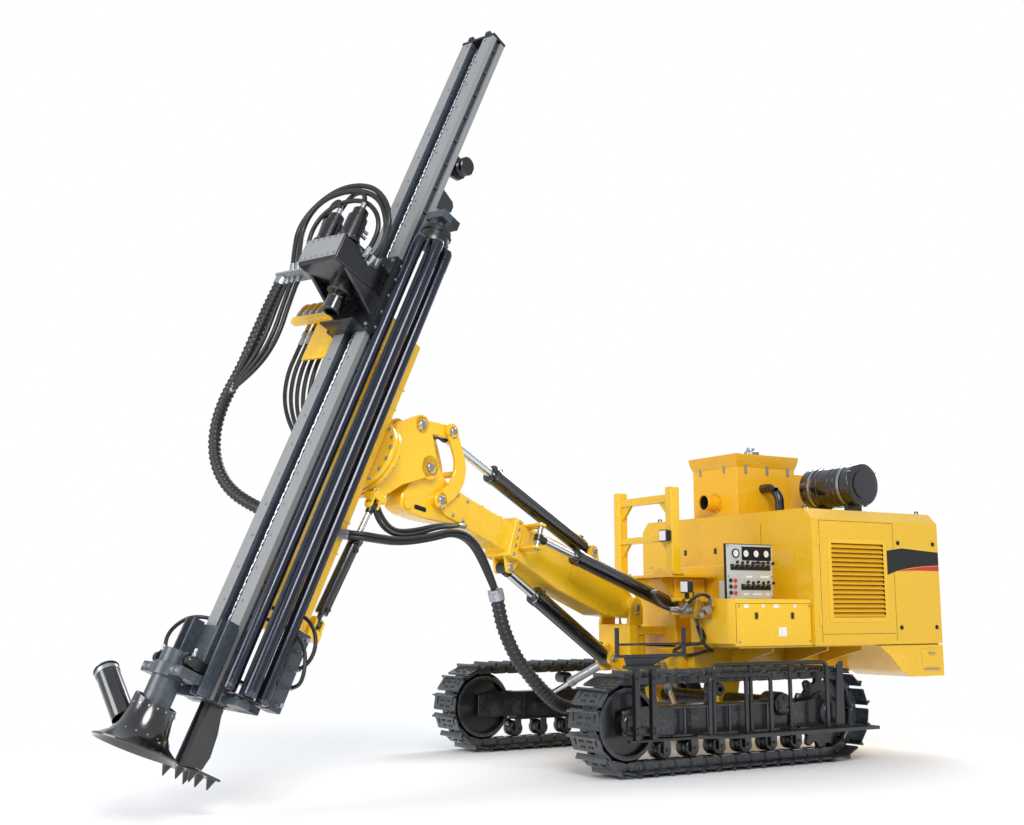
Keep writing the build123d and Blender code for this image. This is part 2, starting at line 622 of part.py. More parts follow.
def cradle():
    """The black cradle on its two posts beside the track."""
    y0 = TRACK_Y + SHOE_WIDTH / 2 + SIDE_GAP
    body = block(MACHINE, 445, 1000, y0, y0 + 30, 234, 250)
    for x in (783, 920):
        body += block(MACHINE, x, x + 40, y0, y0 + 40, 249, 700)
    body += block(MACHINE, 750, 990, y0 - 60, y0 + 40, 699, 725)
    gusset = [(760, 724), (980, 724), (1000, 776), (620, 776)]
    body += side_plate(MACHINE, gusset, CRADLE_Y - 10, CRADLE_Y + 10)
    body += block(MACHINE, CRADLE_X0, CRADLE_X1, CRADLE_Y - 20, CRADLE_Y + 20, 775, 795)
    for x in (CRADLE_X0, CRADLE_X1 - 20):
        body += block(MACHINE, x, x + 20, CRADLE_Y - 15, CRADLE_Y + 15, 794, CRADLE_TOP)
    body += block(MACHINE, CRADLE_X0 + 19, CRADLE_X1 - 19, CRADLE_Y - 10, CRADLE_Y + 10, 852, 868)
    arm = block(MACHINE, 783, 900, YOKE_OUT, y0 + 1, 285, 325)
    return body + arm


SIDE_GAP = 12.0
CRADLE_Y = TRACK_Y + SHOE_WIDTH / 2 - 14
CRADLE_X0 = 487.0
CRADLE_X1 = 1065.0
CRADLE_TOP = 968.0
YOKE_OUT = TRACK_Y + YOKE_WIDE / 2 + YOKE_PLATE


def step_deck():
    """The step beside the track, carried by arms from the track frame."""
    y0 = TRACK_Y + SHOE_WIDTH / 2 + SIDE_GAP
    deck = [(440, y0), (440, y0 + 24), (140, y0 + 150), (-1160, y0 + 150), (-1160, y0)]
    body = level_plate(MACHINE, deck, 232, 256)
    for x in (300, -100, -500):
        body += block(MACHINE, x, x + 60, FRAME_OUT, y0 + 1, 240, 256)
    return body


def step_rails():
    """The tube railings and the upright plate on the step."""
    y0 = TRACK_Y + SHOE_WIDTH / 2 + SIDE_GAP + 18
    z0 = 256.0
    shapes = []
    for x0, x1, y, top, inner in ((-780, 280, y0, 715, (-420, -50)), (-205, 345, y0 + 32, 640, (20,))):
        body = round_bar(MACHINE, (x0 - 15, y, top), (x1 + 15, y, top), 15)
        for x in (x0, x1) + inner:
            body += round_bar(MACHINE, (x, y, z0), (x, y, top), 15)
        shapes.append(body)
    shapes.append(side_plate(MACHINE, [(-950, z0), (-860, z0), (-890, 690), (-915, 715), (-950, 715)], y0 - 15, y0))
    return shapes


# Post, boom and cylinders

def swing_post():
    """The post that turns between the column's lugs and carries the boom and its lift cylinder."""
    z0 = LUG_LOW[1] + SLACK + 3
    z1 = LUG_HIGH[0] - SLACK - 3
    body = round_bar(POST, (0, 0, z0), (0, 0, z1), POST_R)
    body += round_bar(POST, (0, 0, LUG_LOW[0] - 20), (0, 0, LUG_HIGH[1] + 20), POST_BORE)
    body += block(POST, 0, 140, -POST_R + 5, POST_R - 5, z0, z1)
    front = FOOT_R + EAR_R + 30
    body += block(POST, 130, front, -EAR_GAP - EAR_PLATE, EAR_GAP + EAR_PLATE, z0 + 20, FOOT_Z - EAR_R - 38)
    for side in (1, -1):
        y0, y1 = sorted((side * EAR_GAP, side * (EAR_GAP + EAR_PLATE)))
        ear = [(FOOT_R - EAR_R + 5, z1 + 85), (FOOT_R - EAR_R + 5, FOOT_Z), (FOOT_R + EAR_R, FOOT_Z), (front, z1 + 85)]
        body += side_plate(POST, ear, y0, y1)
        body += cross_pin(POST, FOOT_R, FOOT_Z, y0, y1, EAR_R)
        head = sorted((side * EAR_GAP, side * (EAR_GAP + EAR_PLATE + 14)))
        body += cross_pin(POST, FOOT_R, FOOT_Z, head[0], head[1], PIN_R)
        k0, k1 = sorted((side * (EYE_HALF + SLACK), side * 68))
        lug = [(front - 1, LIFT_BASE[1] + 110), (LIFT_BASE[0] + 10, LIFT_BASE[1] + 50), (LIFT_BASE[0] + 10, LIFT_BASE[1] - 50), (front - 1, z0 + 20)]
        body += side_plate(POST, lug, k0, k1)
        body += cross_pin(POST, LIFT_BASE[0], LIFT_BASE[1], k0, k1, 52)
    return body


BOOM_MAIN = [(0, 80), (250, 170), (1000, 157), (1450, 122), (1450, -112), (900, -170), (330, -165), (0, -80)]
BOOM_HEAD = [(1990, 100), (2160, 118), (2290, 190), (2383, 206), (2440, 150), (2440, 60), (2520, -110), (2500, -190),
             (2420, -200), (2250, -175), (1990, -100)]


def boom():
    """The boom: a tapered box, a collar, the inner box and the head with the pins of the mast's bracket."""
    body = side_plate(BOOM, BOOM_MAIN, -BOOM_HALF, BOOM_HALF)
    body += cross_pin(BOOM, 0, 0, SLACK - EAR_GAP, EAR_GAP - SLACK, 78)
    body += side_plate(BOOM, [(1400, 142), (1490, 142), (1490, -130), (1400, -130)], -BOOM_HALF - 20, BOOM_HALF + 20)
    body += side_plate(BOOM, [(1440, 100), (2010, 100), (2010, -100), (1440, -100)], -BOOM_INNER_HALF, BOOM_INNER_HALF)
    body += side_plate(BOOM, BOOM_HEAD, -74, 74)
    inner = BRACKET_HALF - BRACKET_PLATE - SLACK
    body += cross_pin(BOOM, PIN_A[0], PIN_A[1], -inner, inner, 68)
    body += cross_pin(BOOM, PIN_D[0], PIN_D[1], -LINK_IN + SLACK, LINK_IN - SLACK, 56)
    for side in (1, -1):
        head = sorted((side * (LINK_IN - SLACK - 1), side * (LINK_IN + LINK_PLATE + 12)))
        body += cross_pin(BOOM, PIN_D[0], PIN_D[1], head[0], head[1], PIN_R)
        e0, e1 = sorted((side * (EYE_HALF + SLACK), side * 68))
        body += side_plate(BOOM, [(430, 140), (604, 140), (PIN_E[0] + 46, PIN_E[1]), (PIN_E[0] - 36, PIN_E[1] + 30)], e0, e1)
        body += cross_pin(BOOM, PIN_E[0], PIN_E[1], e0, e1, 48)
        g0, g1 = sorted((side * (EYE_HALF + SLACK), side * 62))
        body += side_plate(BOOM, [(1300, -100), (1480, -100), (PIN_G[0] + 38, PIN_G[1]), (PIN_G[0] - 38, PIN_G[1])], g0, g1)
        body += cross_pin(BOOM, PIN_G[0], PIN_G[1], g0, g1, 38)
    body += cross_pin(BOOM, 2460, -150, -90, 90, 34)
    return body


def swing_lug():
    """The lugs on the boom's side for the swing cylinder's rod, far enough apart for its eye to climb."""
    x, z = SWING_LUG
    low, high = z - 62, z + 82
    body = block(BOOM, x - 52, x + 16, BOOM_HALF, BOOM_HALF + 30, low - 1, high + 1)
    outline = [(x - 52, BOOM_HALF), (x + 16, BOOM_HALF), (x + 16, BOOM_HALF + 30), (x + 34, SWING_LUG_SIDE), (x - 34, SWING_LUG_SIDE)]
    for z0 in (low - 16, high):
        body += level_plate(BOOM, outline, z0, z0 + 16)
        body += round_bar(BOOM, (x, SWING_LUG_SIDE, z0), (x, SWING_LUG_SIDE, z0 + 16), 36)
    body += round_bar(BOOM, (x, SWING_LUG_SIDE, high + 15), (x, SWING_LUG_SIDE, high + 26), 20)
    return body


LINK_IN = 94.0
LINK_PLATE = 24.0


def bent_link():
    """The bent link: two bowed plates from the boom's head to the upper pin."""
    shapes = None
    bow = [(PIN_D[0] + 30, PIN_D[1] - 40), (PIN_D[0] + 44, PIN_D[1] + 16), (PIN_D[0] - 40, PIN_D[1] + 130), (PIN_D[0] - 60, PIN_D[1] + 210),
           (PIN_D[0] - 40, PIN_D[1] + 300), (PIN_C[0] + 46, PIN_C[1] - 20), (PIN_C[0] + 10, PIN_C[1] + 48), (PIN_C[0] - 45, PIN_C[1] + 22),
           (PIN_D[0] - 150, PIN_D[1] + 300), (PIN_D[0] - 165, PIN_D[1] + 190), (PIN_D[0] - 130, PIN_D[1] + 80), (PIN_D[0] - 45, PIN_D[1] - 20)]
    for side in (1, -1):
        y0, y1 = sorted((side * LINK_IN, side * (LINK_IN + LINK_PLATE)))
        plate = side_plate(BOOM, bow, y0, y1)
        plate += cross_pin(BOOM, PIN_D[0], PIN_D[1], y0, y1, 56)
        plate += cross_pin(BOOM, PIN_C[0], PIN_C[1], y0, y1, 50)
        plate -= cross_pin(BOOM, PIN_D[0], PIN_D[1], y0 - 1, y1 + 1, PIN_R + FIT)
        head = sorted((side * (LINK_IN + LINK_PLATE - 1), side * (LINK_IN + LINK_PLATE + 12)))
        plate += cross_pin(BOOM, PIN_C[0], PIN_C[1], head[0], head[1], 26)
        shapes = plate if shapes is None else shapes + plate
    shapes += cross_pin(BOOM, PIN_D[0] - 130, PIN_D[1] + 240, -LINK_IN - 1, LINK_IN + 1, 22)
    return shapes


def bracket_point(pin):
    """A pin of the boom, seen in the bracket's frame."""
    world = BOOM.from_local_coords(Vector(pin[0], 0, pin[1]))
    local = BRACKET.to_local_coords(world)
    return local.X, local.Z


def top_link():
    """The short link from the bent link's upper pin to the bracket's upper pin."""
    x, z = bracket_point(PIN_C)
    outline = make_hull((Pos(x, z) * Circle(42)).edges() + (Pos(PIN_B[0], PIN_B[1]) * Circle(42)).edges())
    frame = Plane(origin=(0, 88, 0), x_dir=(1, 0, 0), z_dir=(0, -1, 0))
    body = place(extrude(outline, 36).moved(frame.location), BRACKET)
    frame = Plane(origin=(0, -52, 0), x_dir=(1, 0, 0), z_dir=(0, -1, 0))
    body += place(extrude(outline, 36).moved(frame.location), BRACKET)
    body += cross_pin(BRACKET, PIN_B[0], PIN_B[1], -BRACKET_HALF + BRACKET_PLATE + SLACK, BRACKET_HALF - BRACKET_PLATE - SLACK, 42)
    return body


BRACKET_OUTLINE = [(-72, -20), (-72, 30), (115, 258), (175, 272), (235, 245), (365, 110), (365, -390), (300, -390), (170, -220), (0, -75)]


def mast_bracket():
    """The bracket at the boom's tip: two plates, their ties and the round flange."""
    body = None
    for side in (1, -1):
        y0, y1 = sorted((side * (BRACKET_HALF - BRACKET_PLATE), side * BRACKET_HALF))
        plate = side_plate(BRACKET, BRACKET_OUTLINE, y0, y1)
        plate += cross_pin(BRACKET, 0, 0, y0, y1, 78)
        plate += cross_pin(BRACKET, PIN_B[0], PIN_B[1], y0, y1, 62)
        for x, z in ((0, 0), PIN_B):
            head = sorted((side * (BRACKET_HALF - 1), side * (BRACKET_HALF + 14)))
            plate += cross_pin(BRACKET, x, z, head[0], head[1], PIN_R)
        body = plate if body is None else body + plate
    inner = BRACKET_HALF - BRACKET_PLATE + 1
    body += block(BRACKET, 330, 366, -inner, inner, -390, 110)
    centre = PIVOT_FROM_A
    body += round_bar(BRACKET, (365, 0, centre), (FACE_FROM_A + CARRIER_BACK - FLANGE_V - FIT, 0, centre), FLANGE_R)
    return body


def roll_lug():
    """The lugs under the bracket for the rod of the mast's side cylinder."""
    eye = BRACKET.to_local_coords(MAST.from_local_coords(Vector(SWING_CYL_V, *SWING_CYL_TOP)))
    body = block(BRACKET, 300, eye.X + ROLL_EYE + SLACK + 16, BRACKET_HALF - BRACKET_PLATE + 1, eye.Y + 30, eye.Z + 38, -390)
    for n0 in (eye.X - ROLL_EYE - SLACK - 16, eye.X + ROLL_EYE + SLACK):
        body += block(BRACKET, n0, n0 + 16, eye.Y - 30, eye.Y + 30, eye.Z, eye.Z + 39)
        body += round_bar(BRACKET, (n0, eye.Y, eye.Z), (n0 + 16, eye.Y, eye.Z), 30)
    return body


SWING_CYL_V = -515.0
SWING_CYL_R = 40.0
ROLL_EYE = 20.0
SWING_CYL_TOP = (175.0, -637.5)
SWING_CYL_LOW = (105.0, -1400.0)


def carrier():
    """The carriage between the bracket's flange and the mast's beam."""
    body = block(MAST, CARRIER_BACK, CARRIER_FRONT, -CARRIER_HALF, CARRIER_HALF, CARRIER_S0, CARRIER_S1)
    body += round_bar(MAST, (CARRIER_BACK - FLANGE_V, 0, PIVOT_S), (CARRIER_BACK + 1, 0, PIVOT_S), FLANGE_R)
    for s0, s1 in SHOE_S:
        body += block(MAST, CARRIER_FRONT - 1, -BEAM_D - 12, -CARRIER_HALF, CARRIER_HALF, s0, s1)
        body += block(MAST, -BEAM_D - 40, -BEAM_D - 0.5, -BEAM_W / 2 - 36, BEAM_W / 2 + 36, s0, s1)
        for side in (1, -1):
            u0, u1 = sorted((side * (BEAM_W / 2 + 0.5), side * (BEAM_W / 2 + 36)))
            body += block(MAST, -BEAM_D - 1, -RAIL_FLANGE - 28, u0, u1, s0, s1)
            lip0, lip1 = sorted((side * (RAIL_WEB + 4), side * (BEAM_W / 2 + 1)))
            body += block(MAST, -BEAM_D + RAIL_FLANGE + 0.5, -RAIL_FLANGE - 28, lip0, lip1, s0, s1)
    u, s = SWING_CYL_LOW
    for v0 in (SWING_CYL_V - ROLL_EYE - SLACK - 16, SWING_CYL_V + ROLL_EYE + SLACK):
        body += block(MAST, v0, v0 + 16, u - 32, u + 32, s - 60, s)
        body += round_bar(MAST, (v0, u, s), (v0 + 16, u, s), 32)
    body += block(MAST, SWING_CYL_V - ROLL_EYE - SLACK - 16, CARRIER_BACK + 1, 0, u + 45, s - 110, s - 45)
    body += block(MAST, CARRIER_BACK, CARRIER_FRONT, -CARRIER_HALF, CARRIER_HALF, s - 110, CARRIER_S0 + 1)
    body += block(MAST, CARRIER_BACK, CARRIER_BACK + 60, -215, 1 - CARRIER_HALF, 150, 440)
    body += block(MAST, CARRIER_BACK, -45, -215, -200, 150, 440)
    body += block(MAST, -60, -45, -450, -201, 150, 441)
    body += block(MAST, -60, -10, -700, -300, 440, 485)
    return body


def cylinder_barrel(frame, base, tip, radius, eye_r, eye_half, bore, pin_axis):
    """A cylinder's barrel from its base eye to its gland, bored for its rod."""
    a = Vector(*base)
    b = Vector(*tip)
    way = (b - a).normalized()
    neck = min(eye_half - 4, radius)
    barrel = round_bar(frame, tuple(a + way * (eye_r * 0.5)), tuple(a + way * (eye_r + 40)), neck)
    barrel += round_bar(frame, tuple(a + way * (eye_r + 25)), tuple(b), radius)
    barrel += round_bar(frame, tuple(b - way * 46), tuple(b), radius + 5)
    eye = Vector(*pin_axis) * eye_half
    barrel += round_bar(frame, tuple(a - eye), tuple(a + eye), eye_r)
    floor = a + way * (eye_r + 75)
    barrel -= round_bar(frame, tuple(floor), tuple(b + way), bore)
    return barrel


def cylinder_rod(frame, tip_eye, start, radius, eye_r, eye_half, pin_axis):
    """A cylinder's rod with its end eye."""
    a = Vector(*tip_eye)
    b = Vector(*start)
    way = (a - b).normalized()
    rod = round_bar(frame, tuple(b), tuple(a - way * (eye_r * 0.6)), radius)
    eye = Vector(*pin_axis) * eye_half
    rod += round_bar(frame, tuple(a - eye), tuple(a + eye), eye_r)
    return rod


def along(start, end, length):
    """The point at a length from start towards end."""
    a = Vector(*start)
    b = Vector(*end)
    return tuple(a + (b - a).normalized() * length)


LIFT_TIP = BOOM.to_local_coords(POST.from_local_coords(Vector(LIFT_BASE[0], 0, LIFT_BASE[1])))
LIFT_ENDS = ((LIFT_TIP.X, 0, LIFT_TIP.Z), (PIN_G[0], 0, PIN_G[1]))
LIFT_BARREL = 960.0
LIFT_ROD_IN = 330.0
PITCH_ENDS = ((PIN_E[0], 0, PIN_E[1]), (PIN_C[0], 0, PIN_C[1]))
PITCH_BARREL = 1190.0
PITCH_ROD_IN = 420.0
LIFT_R = 61.0
PITCH_R = 60.0
SWING_R = 55.0
ROD_R = 33.0
SWING_ROD_R = 25.0
PITCH_EYE = 51.0
BORE_R = ROD_R + FIT
ACROSS = (0, 1, 0)


def lift_barrel():
    """Barrel of the lift cylinder."""
    tip = along(*LIFT_ENDS, LIFT_BARREL)
    return cylinder_barrel(BOOM, LIFT_ENDS[0], tip, LIFT_R, 46, EYE_HALF, BORE_R, ACROSS)


def lift_rod():
    """Rod of the lift cylinder."""
    start = along(*LIFT_ENDS, LIFT_ROD_IN)
    return cylinder_rod(BOOM, LIFT_ENDS[1], start, ROD_R, 36, EYE_HALF, ACROSS)


def pitch_barrel():
    """Barrel of the cylinder that tips the mast."""
    tip = along(*PITCH_ENDS, PITCH_BARREL)
    return cylinder_barrel(BOOM, PITCH_ENDS[0], tip, PITCH_R, 44, EYE_HALF, BORE_R, ACROSS)


def pitch_rod():
    """Rod of the cylinder that tips the mast."""
    start = along(*PITCH_ENDS, PITCH_ROD_IN)
    return cylinder_rod(BOOM, PITCH_ENDS[1], start, ROD_R, 40, PITCH_EYE, ACROSS)


SWING_TOP = BOOM.from_local_coords(Vector(SWING_LUG[0], SWING_LUG_SIDE, SWING_LUG[1]))
SWING_ENDS = (SWING_BASE, tuple(SWING_TOP))
SWING_BARREL = 1150.0
SWING_ROD_IN = 520.0
SWING_RUN = Vector(*SWING_ENDS[1]) - Vector(*SWING_ENDS[0])
SWING_FLAT = Vector(SWING_RUN.X, SWING_RUN.Y, 0).normalized()
SWING_ACROSS = tuple(SWING_FLAT.cross(UP) * -1)


def swing_cross():
    """The small cross between the column's bracket and the swing cylinder."""
    x, y, z = SWING_BASE
    body = round_bar(MACHINE, (x, y, z - 58), (x, y, z + 36), 22)
    body += round_bar(MACHINE, (x, y, z - 36), (x, y, z + 36), 34)
    side = Vector(*SWING_ACROSS)
    body += round_bar(MACHINE, tuple(Vector(x, y, z) - side * 56), tuple(Vector(x, y, z) + side * 56), 14)
    return body


def swing_barrel():
    """Barrel of the cylinder that swings the boom, forked round its cross."""
    base = Vector(*SWING_BASE)
    way = SWING_RUN.normalized()
    tip = base + way * SWING_BARREL
    body = round_bar(MACHINE, tuple(base + way * 104), tuple(tip), SWING_R)
    body += round_bar(MACHINE, tuple(tip - way * 46), tuple(tip), SWING_R + 5)
    side = Vector(*SWING_ACROSS)
    for sign in (1, -1):
        cheek = base + side * (sign * 47)
        body += round_bar(MACHINE, tuple(cheek - side * 9), tuple(cheek + side * 9), 28)
        body += round_bar(MACHINE, tuple(cheek), tuple(base + way * 112 + side * (sign * 38)), 12)
    body -= round_bar(MACHINE, tuple(base - side * 70), tuple(base + side * 70), 14 + FIT)
    body -= round_bar(MACHINE, tuple(base + way * 150), tuple(tip + way), SWING_ROD_R + FIT)
    return body


def swing_rod():
    """Rod of the cylinder that swings the boom."""
    start = along(*SWING_ENDS, SWING_ROD_IN)
    return cylinder_rod(MACHINE, SWING_ENDS[1], start, SWING_ROD_R, 34, 20, tuple(BOOM_UP))


ROLL_ENDS = ((SWING_CYL_V, SWING_CYL_LOW[0], SWING_CYL_LOW[1]), (SWING_CYL_V, SWING_CYL_TOP[0], SWING_CYL_TOP[1]))
ROLL_BARREL = 560.0
ROLL_ROD_IN = 180.0
OUTWARD = (1, 0, 0)


def roll_barrel():
    """Barrel of the cylinder that swings the mast on its flange."""
    tip = along(*ROLL_ENDS, ROLL_BARREL)
    return cylinder_barrel(MAST, ROLL_ENDS[0], tip, SWING_CYL_R, 30, ROLL_EYE, 18 + FIT, OUTWARD)


def roll_rod():
    """Rod of the cylinder that swings the mast on its flange."""
    start = along(*ROLL_ENDS, ROLL_ROD_IN)
    return cylinder_rod(MAST, ROLL_ENDS[1], start, 18, 28, ROLL_EYE, OUTWARD)


# Mast

def mast_beam():
    """The feed beam: two rails, a slot for the chain, two flanges and the arms of the rod magazine."""
    half = BEAM_W / 2
    section = [(half, 0), (half, -RAIL_FLANGE), (RAIL_WEB, -RAIL_FLANGE), (RAIL_WEB, RAIL_FLANGE - BEAM_D), (half, RAIL_FLANGE - BEAM_D),
               (half, -BEAM_D), (-half, -BEAM_D), (-half, RAIL_FLANGE - BEAM_D), (-RAIL_WEB, RAIL_FLANGE - BEAM_D), (-RAIL_WEB, -RAIL_FLANGE),
               (-half, -RAIL_FLANGE), (-half, 0), (-SLOT_WIDE / 2, 0), (-SLOT_WIDE / 2, -SLOT_DEEP), (SLOT_WIDE / 2, -SLOT_DEEP),
               (SLOT_WIDE / 2, 0)]
    body = level_plate(MAST, [(v, u) for u, v in section], BEAM_S0, BEAM_S1)
    for s0, s1 in ((1135.0, 1195.0), (-2050.0, -2010.0)):
        body += block(MAST, -BEAM_D - 75, -BEAM_D + 1, -60, MAG_U + 60, s0, s1)
        body += block(MAST, -BEAM_D - 75, MAG_V + 60, RAIL_WEB + 70, MAG_U + 60, s0, s1)
        body -= round_bar(MAST, (MAG_V, MAG_U, s0 - 1), (MAG_V, MAG_U, s1 + 1), 28 + FIT)
    return body


def mast_top():
    """The cap on the beam's end with its stops, and the bracket with the sheave and the index motor behind."""
    body = block(MAST, -BEAM_D - 4, 6, -BEAM_W / 2 - 3, BEAM_W / 2 + 3, BEAM_S1, BEAM_S1 + 20)
    for u in (-100, 60):
        body += block(MAST, -40, 10, u, u + 40, BEAM_S1 + 19, BEAM_S1 + 50)
    return body


def back_bracket():
    """The bracket behind the beam with its sheave."""
    body = block(MAST, -BEAM_D - 150, -BEAM_D, 40, 70, 1620, 1800)
    body += round_bar(MAST, (-BEAM_D - 110, 69, 1740), (-BEAM_D - 110, 140, 1740), 62)
    arm = block(MAST, -BEAM_D - 160, -BEAM_D, 60, 100, 1330, 1500)
    return [body, arm]


def feed_chain():
    """The feed chain in the slot, as one strip with its rollers."""
    return block(MAST, -SLOT_DEEP, -SLOT_DEEP + 26, -30, 30, BEAM_S0 + 30, BEAM_S1 - 30)


def foot_clamp():
    """The rod clamp at the mast's foot: two channels, the jaws' housing and the guide tube."""
    body = block(MAST, 1, 30, -BEAM_W / 2 - 20, BEAM_W / 2 + 20, -2060, -1660)
    for side in (1, -1):
        u0, u1 = sorted((side * (BEAM_W / 2 - 30), side * (BEAM_W / 2 + 50)))
        channel = block(MAST, 29, 105, u0, u1, -2060, -1650)
        channel -= block(MAST, 50, 106, u0 + 14, u1 - 14, -2061, -1640)
        body += channel
    half = BEAM_W / 2 - 30
    body += block(MAST, 29, 205, -half, half, CLAMP_S - 5, -1880)
    body += block(MAST, 100, 245, -180, 180, CLAMP_S - 55, CLAMP_S)
    body += round_bar(MAST, (DRILL_V, 0, GUIDE_S0), (DRILL_V, 0, GUIDE_S1), GUIDE_OUT)
    body -= round_bar(MAST, (DRILL_V, 0, GUIDE_S0 - 1), (DRILL_V, 0, GUIDE_S1 + 1), GUIDE_R)
    body -= block(MAST, -1, 40, -SLOT_WIDE / 2, SLOT_WIDE / 2, -1800, -1600)
    return body


CLAMP_S = -1965.0
GUIDE_S0 = -2260.0
GUIDE_S1 = -1880.0
GUIDE_R = 62.0
GUIDE_OUT = 80.0
HOOD_TRAVEL = 45.0


def foot_plate():
    """The spiked plate on which the mast stands, with its bowed post."""
    post = [(-190, BEAM_S0), (-100, BEAM_S0), (-95, -2392), (-215, -2392), (-238, -2300), (-225, -2180)]
    body = side_plate(MAST, post, -48, 48)
    plate = [(-280, -150), (-280, 150), (-110, 170), (-75, 120), (-75, -120), (-110, -170)]
    body += level_plate(MAST, plate, -2406, -2391)
    for v, u in ((-250, -110), (-250, 0), (-250, 110), (-115, -120), (-115, 0), (-115, 120)):
        tooth = extrude(Rectangle(44, 44), 60, taper=18)
        body += place(Pos(v, u, -2405) * Rot(180, 0, 0) * tooth, MAST)
    return body


def dust_hood():
    """The flared suction hood round the guide tube: an oblique collar, a bolted rim and a slanting pipe."""
    outline = [(118, -2120), (121, -2230), (137, -2310), (166, -2360), (HOOD_RIM, -2412), (HOOD_RIM - 5, -2416),
               (162, -2366), (133, -2314), (GUIDE_OUT + FIT, -2240), (GUIDE_OUT + FIT, -2232), (113, -2225), (113, -2120)]
    face = make_face(Polyline(*outline, close=True).edges()).moved(Plane.XZ.location)
    shell = place(revolve(face, Axis.Z).moved(Location((DRILL_V, 0, 0))), MAST)
    lid = Pos(DRILL_V, 0, -2155) * Rot(-14, 0, 0) * Pos(0, 0, 100) * Box(400, 400, 200)
    shell -= place(lid, MAST)
    start = Vector(DRILL_V + 30, -70, -2340)
    end = Vector(300, -400, -2060)
    step = (end - start).normalized() * 12
    pipe = round_bar(MAST, tuple(start), tuple(end), PIPE_OUT)
    bore = round_bar(MAST, tuple(start - step), tuple(end + step), PIPE_OUT - 5)
    inside = [(0, -2100), (115, -2100), (117, -2228), (134, -2312), (164, -2363), (HOOD_RIM - 4, -2416), (0, -2416)]
    core = revolve(make_face(Polyline(*inside, close=True).edges()).moved(Plane.XZ.location), Axis.Z)
    core = place(core.moved(Location((DRILL_V, 0, 0))), MAST)
    return shell + (pipe - core) - bore


HOOD_RIM = 235.0
PIPE_OUT = 64.0


def head_sled():
    """The sled that runs on the rails and carries the rotary head."""
    s0, s1 = 270.0, 800.0
    body = block(MAST, 0.5, 36, -190, 190, s0, s1)
    for side in (1, -1):
        u0, u1 = sorted((side * (BEAM_W / 2 + 0.5), side * 188))
        body += block(MAST, -52, 1, u0, u1, s0, s1)
        lip0, lip1 = sorted((side * (RAIL_WEB + 4), side * (BEAM_W / 2 + 1)))
        body += block(MAST, -52, -RAIL_FLANGE - 0.5, lip0, lip1, s0, s1)
    body += block(MAST, 35, 135, -150, 150, s0, s0 + 14)
    return body


def rotary_head():
    """The rotary head: gearbox, two motors on top, its gussets and the plate that holds the hoses."""
    body = block(MAST, 36, HEAD_V1, -180, 180, 500, 680)
    for side in (1, -1):
        u = side * 112
        body += round_bar(MAST, (HEAD_V1 - 75, u, 679), (HEAD_V1 - 75, u, 860), 62)
        body += round_bar(MAST, (HEAD_V1 - 75, u, 859), (HEAD_V1 - 75, u, 920), 48)
        gusset = [(36, 360), (36, 501), (330, 501), (150, 420)]
        body += side_plate(MAST, gusset, min(side * 150, side * 175), max(side * 150, side * 175))
    body += round_bar(MAST, (DRILL_V, 0, 430), (DRILL_V, 0, 501), 80)
    body -= round_bar(MAST, (DRILL_V, 0, 425), (DRILL_V, 0, 500), SPINDLE_R + FIT)
    body += block(MAST, 180, 290, -620, -179, 600, 612)
    return body


HEAD_V1 = 430.0


def spindle():
    """The spindle with its chuck."""
    body = round_bar(MAST, (DRILL_V, 0, 300), (DRILL_V, 0, 499), SPINDLE_R)
    body += round_bar(MAST, (DRILL_V, 0, 300), (DRILL_V, 0, 400), 60)
    body -= round_bar(MAST, (DRILL_V, 0, 290), (DRILL_V, 0, 360), 38)
    return body


def magazine():
    """The rod magazine: drum, shaft, foot disc and its drill rods."""
    body = round_bar(MAST, (MAG_V, MAG_U, PIPE_S[1] - 1), (MAG_V, MAG_U, PIPE_S[1] + 120), DRUM_R)
    body += round_bar(MAST, (MAG_V, MAG_U, -2008 + 1), (MAG_V, MAG_U, 1190), 28)
    body += round_bar(MAST, (MAG_V, MAG_U, -2045), (MAG_V, MAG_U, -2000), 28)
    body += round_bar(MAST, (MAG_V, MAG_U, -2004), (MAG_V, MAG_U, PIPE_S[0] + 1), 110)
    for turn in PIPE_ANGLES:
        v = MAG_V + MAG_R * math.cos(math.radians(turn))
        u = MAG_U + MAG_R * math.sin(math.radians(turn))
        body += round_bar(MAST, (v, u, PIPE_S[0]), (v, u, PIPE_S[1]), PIPE_R)
    return body


def foot_box():
    """The valve box beside the mast's foot."""
    body = block(MAST, -345, -250, 215, 330, -1990, -1540)
    body += block(MAST, -300, -BEAM_D, 60, 120, -1900, -1880)
    body += block(MAST, -300, -260, 119, 216, -1900, -1880)
    return body


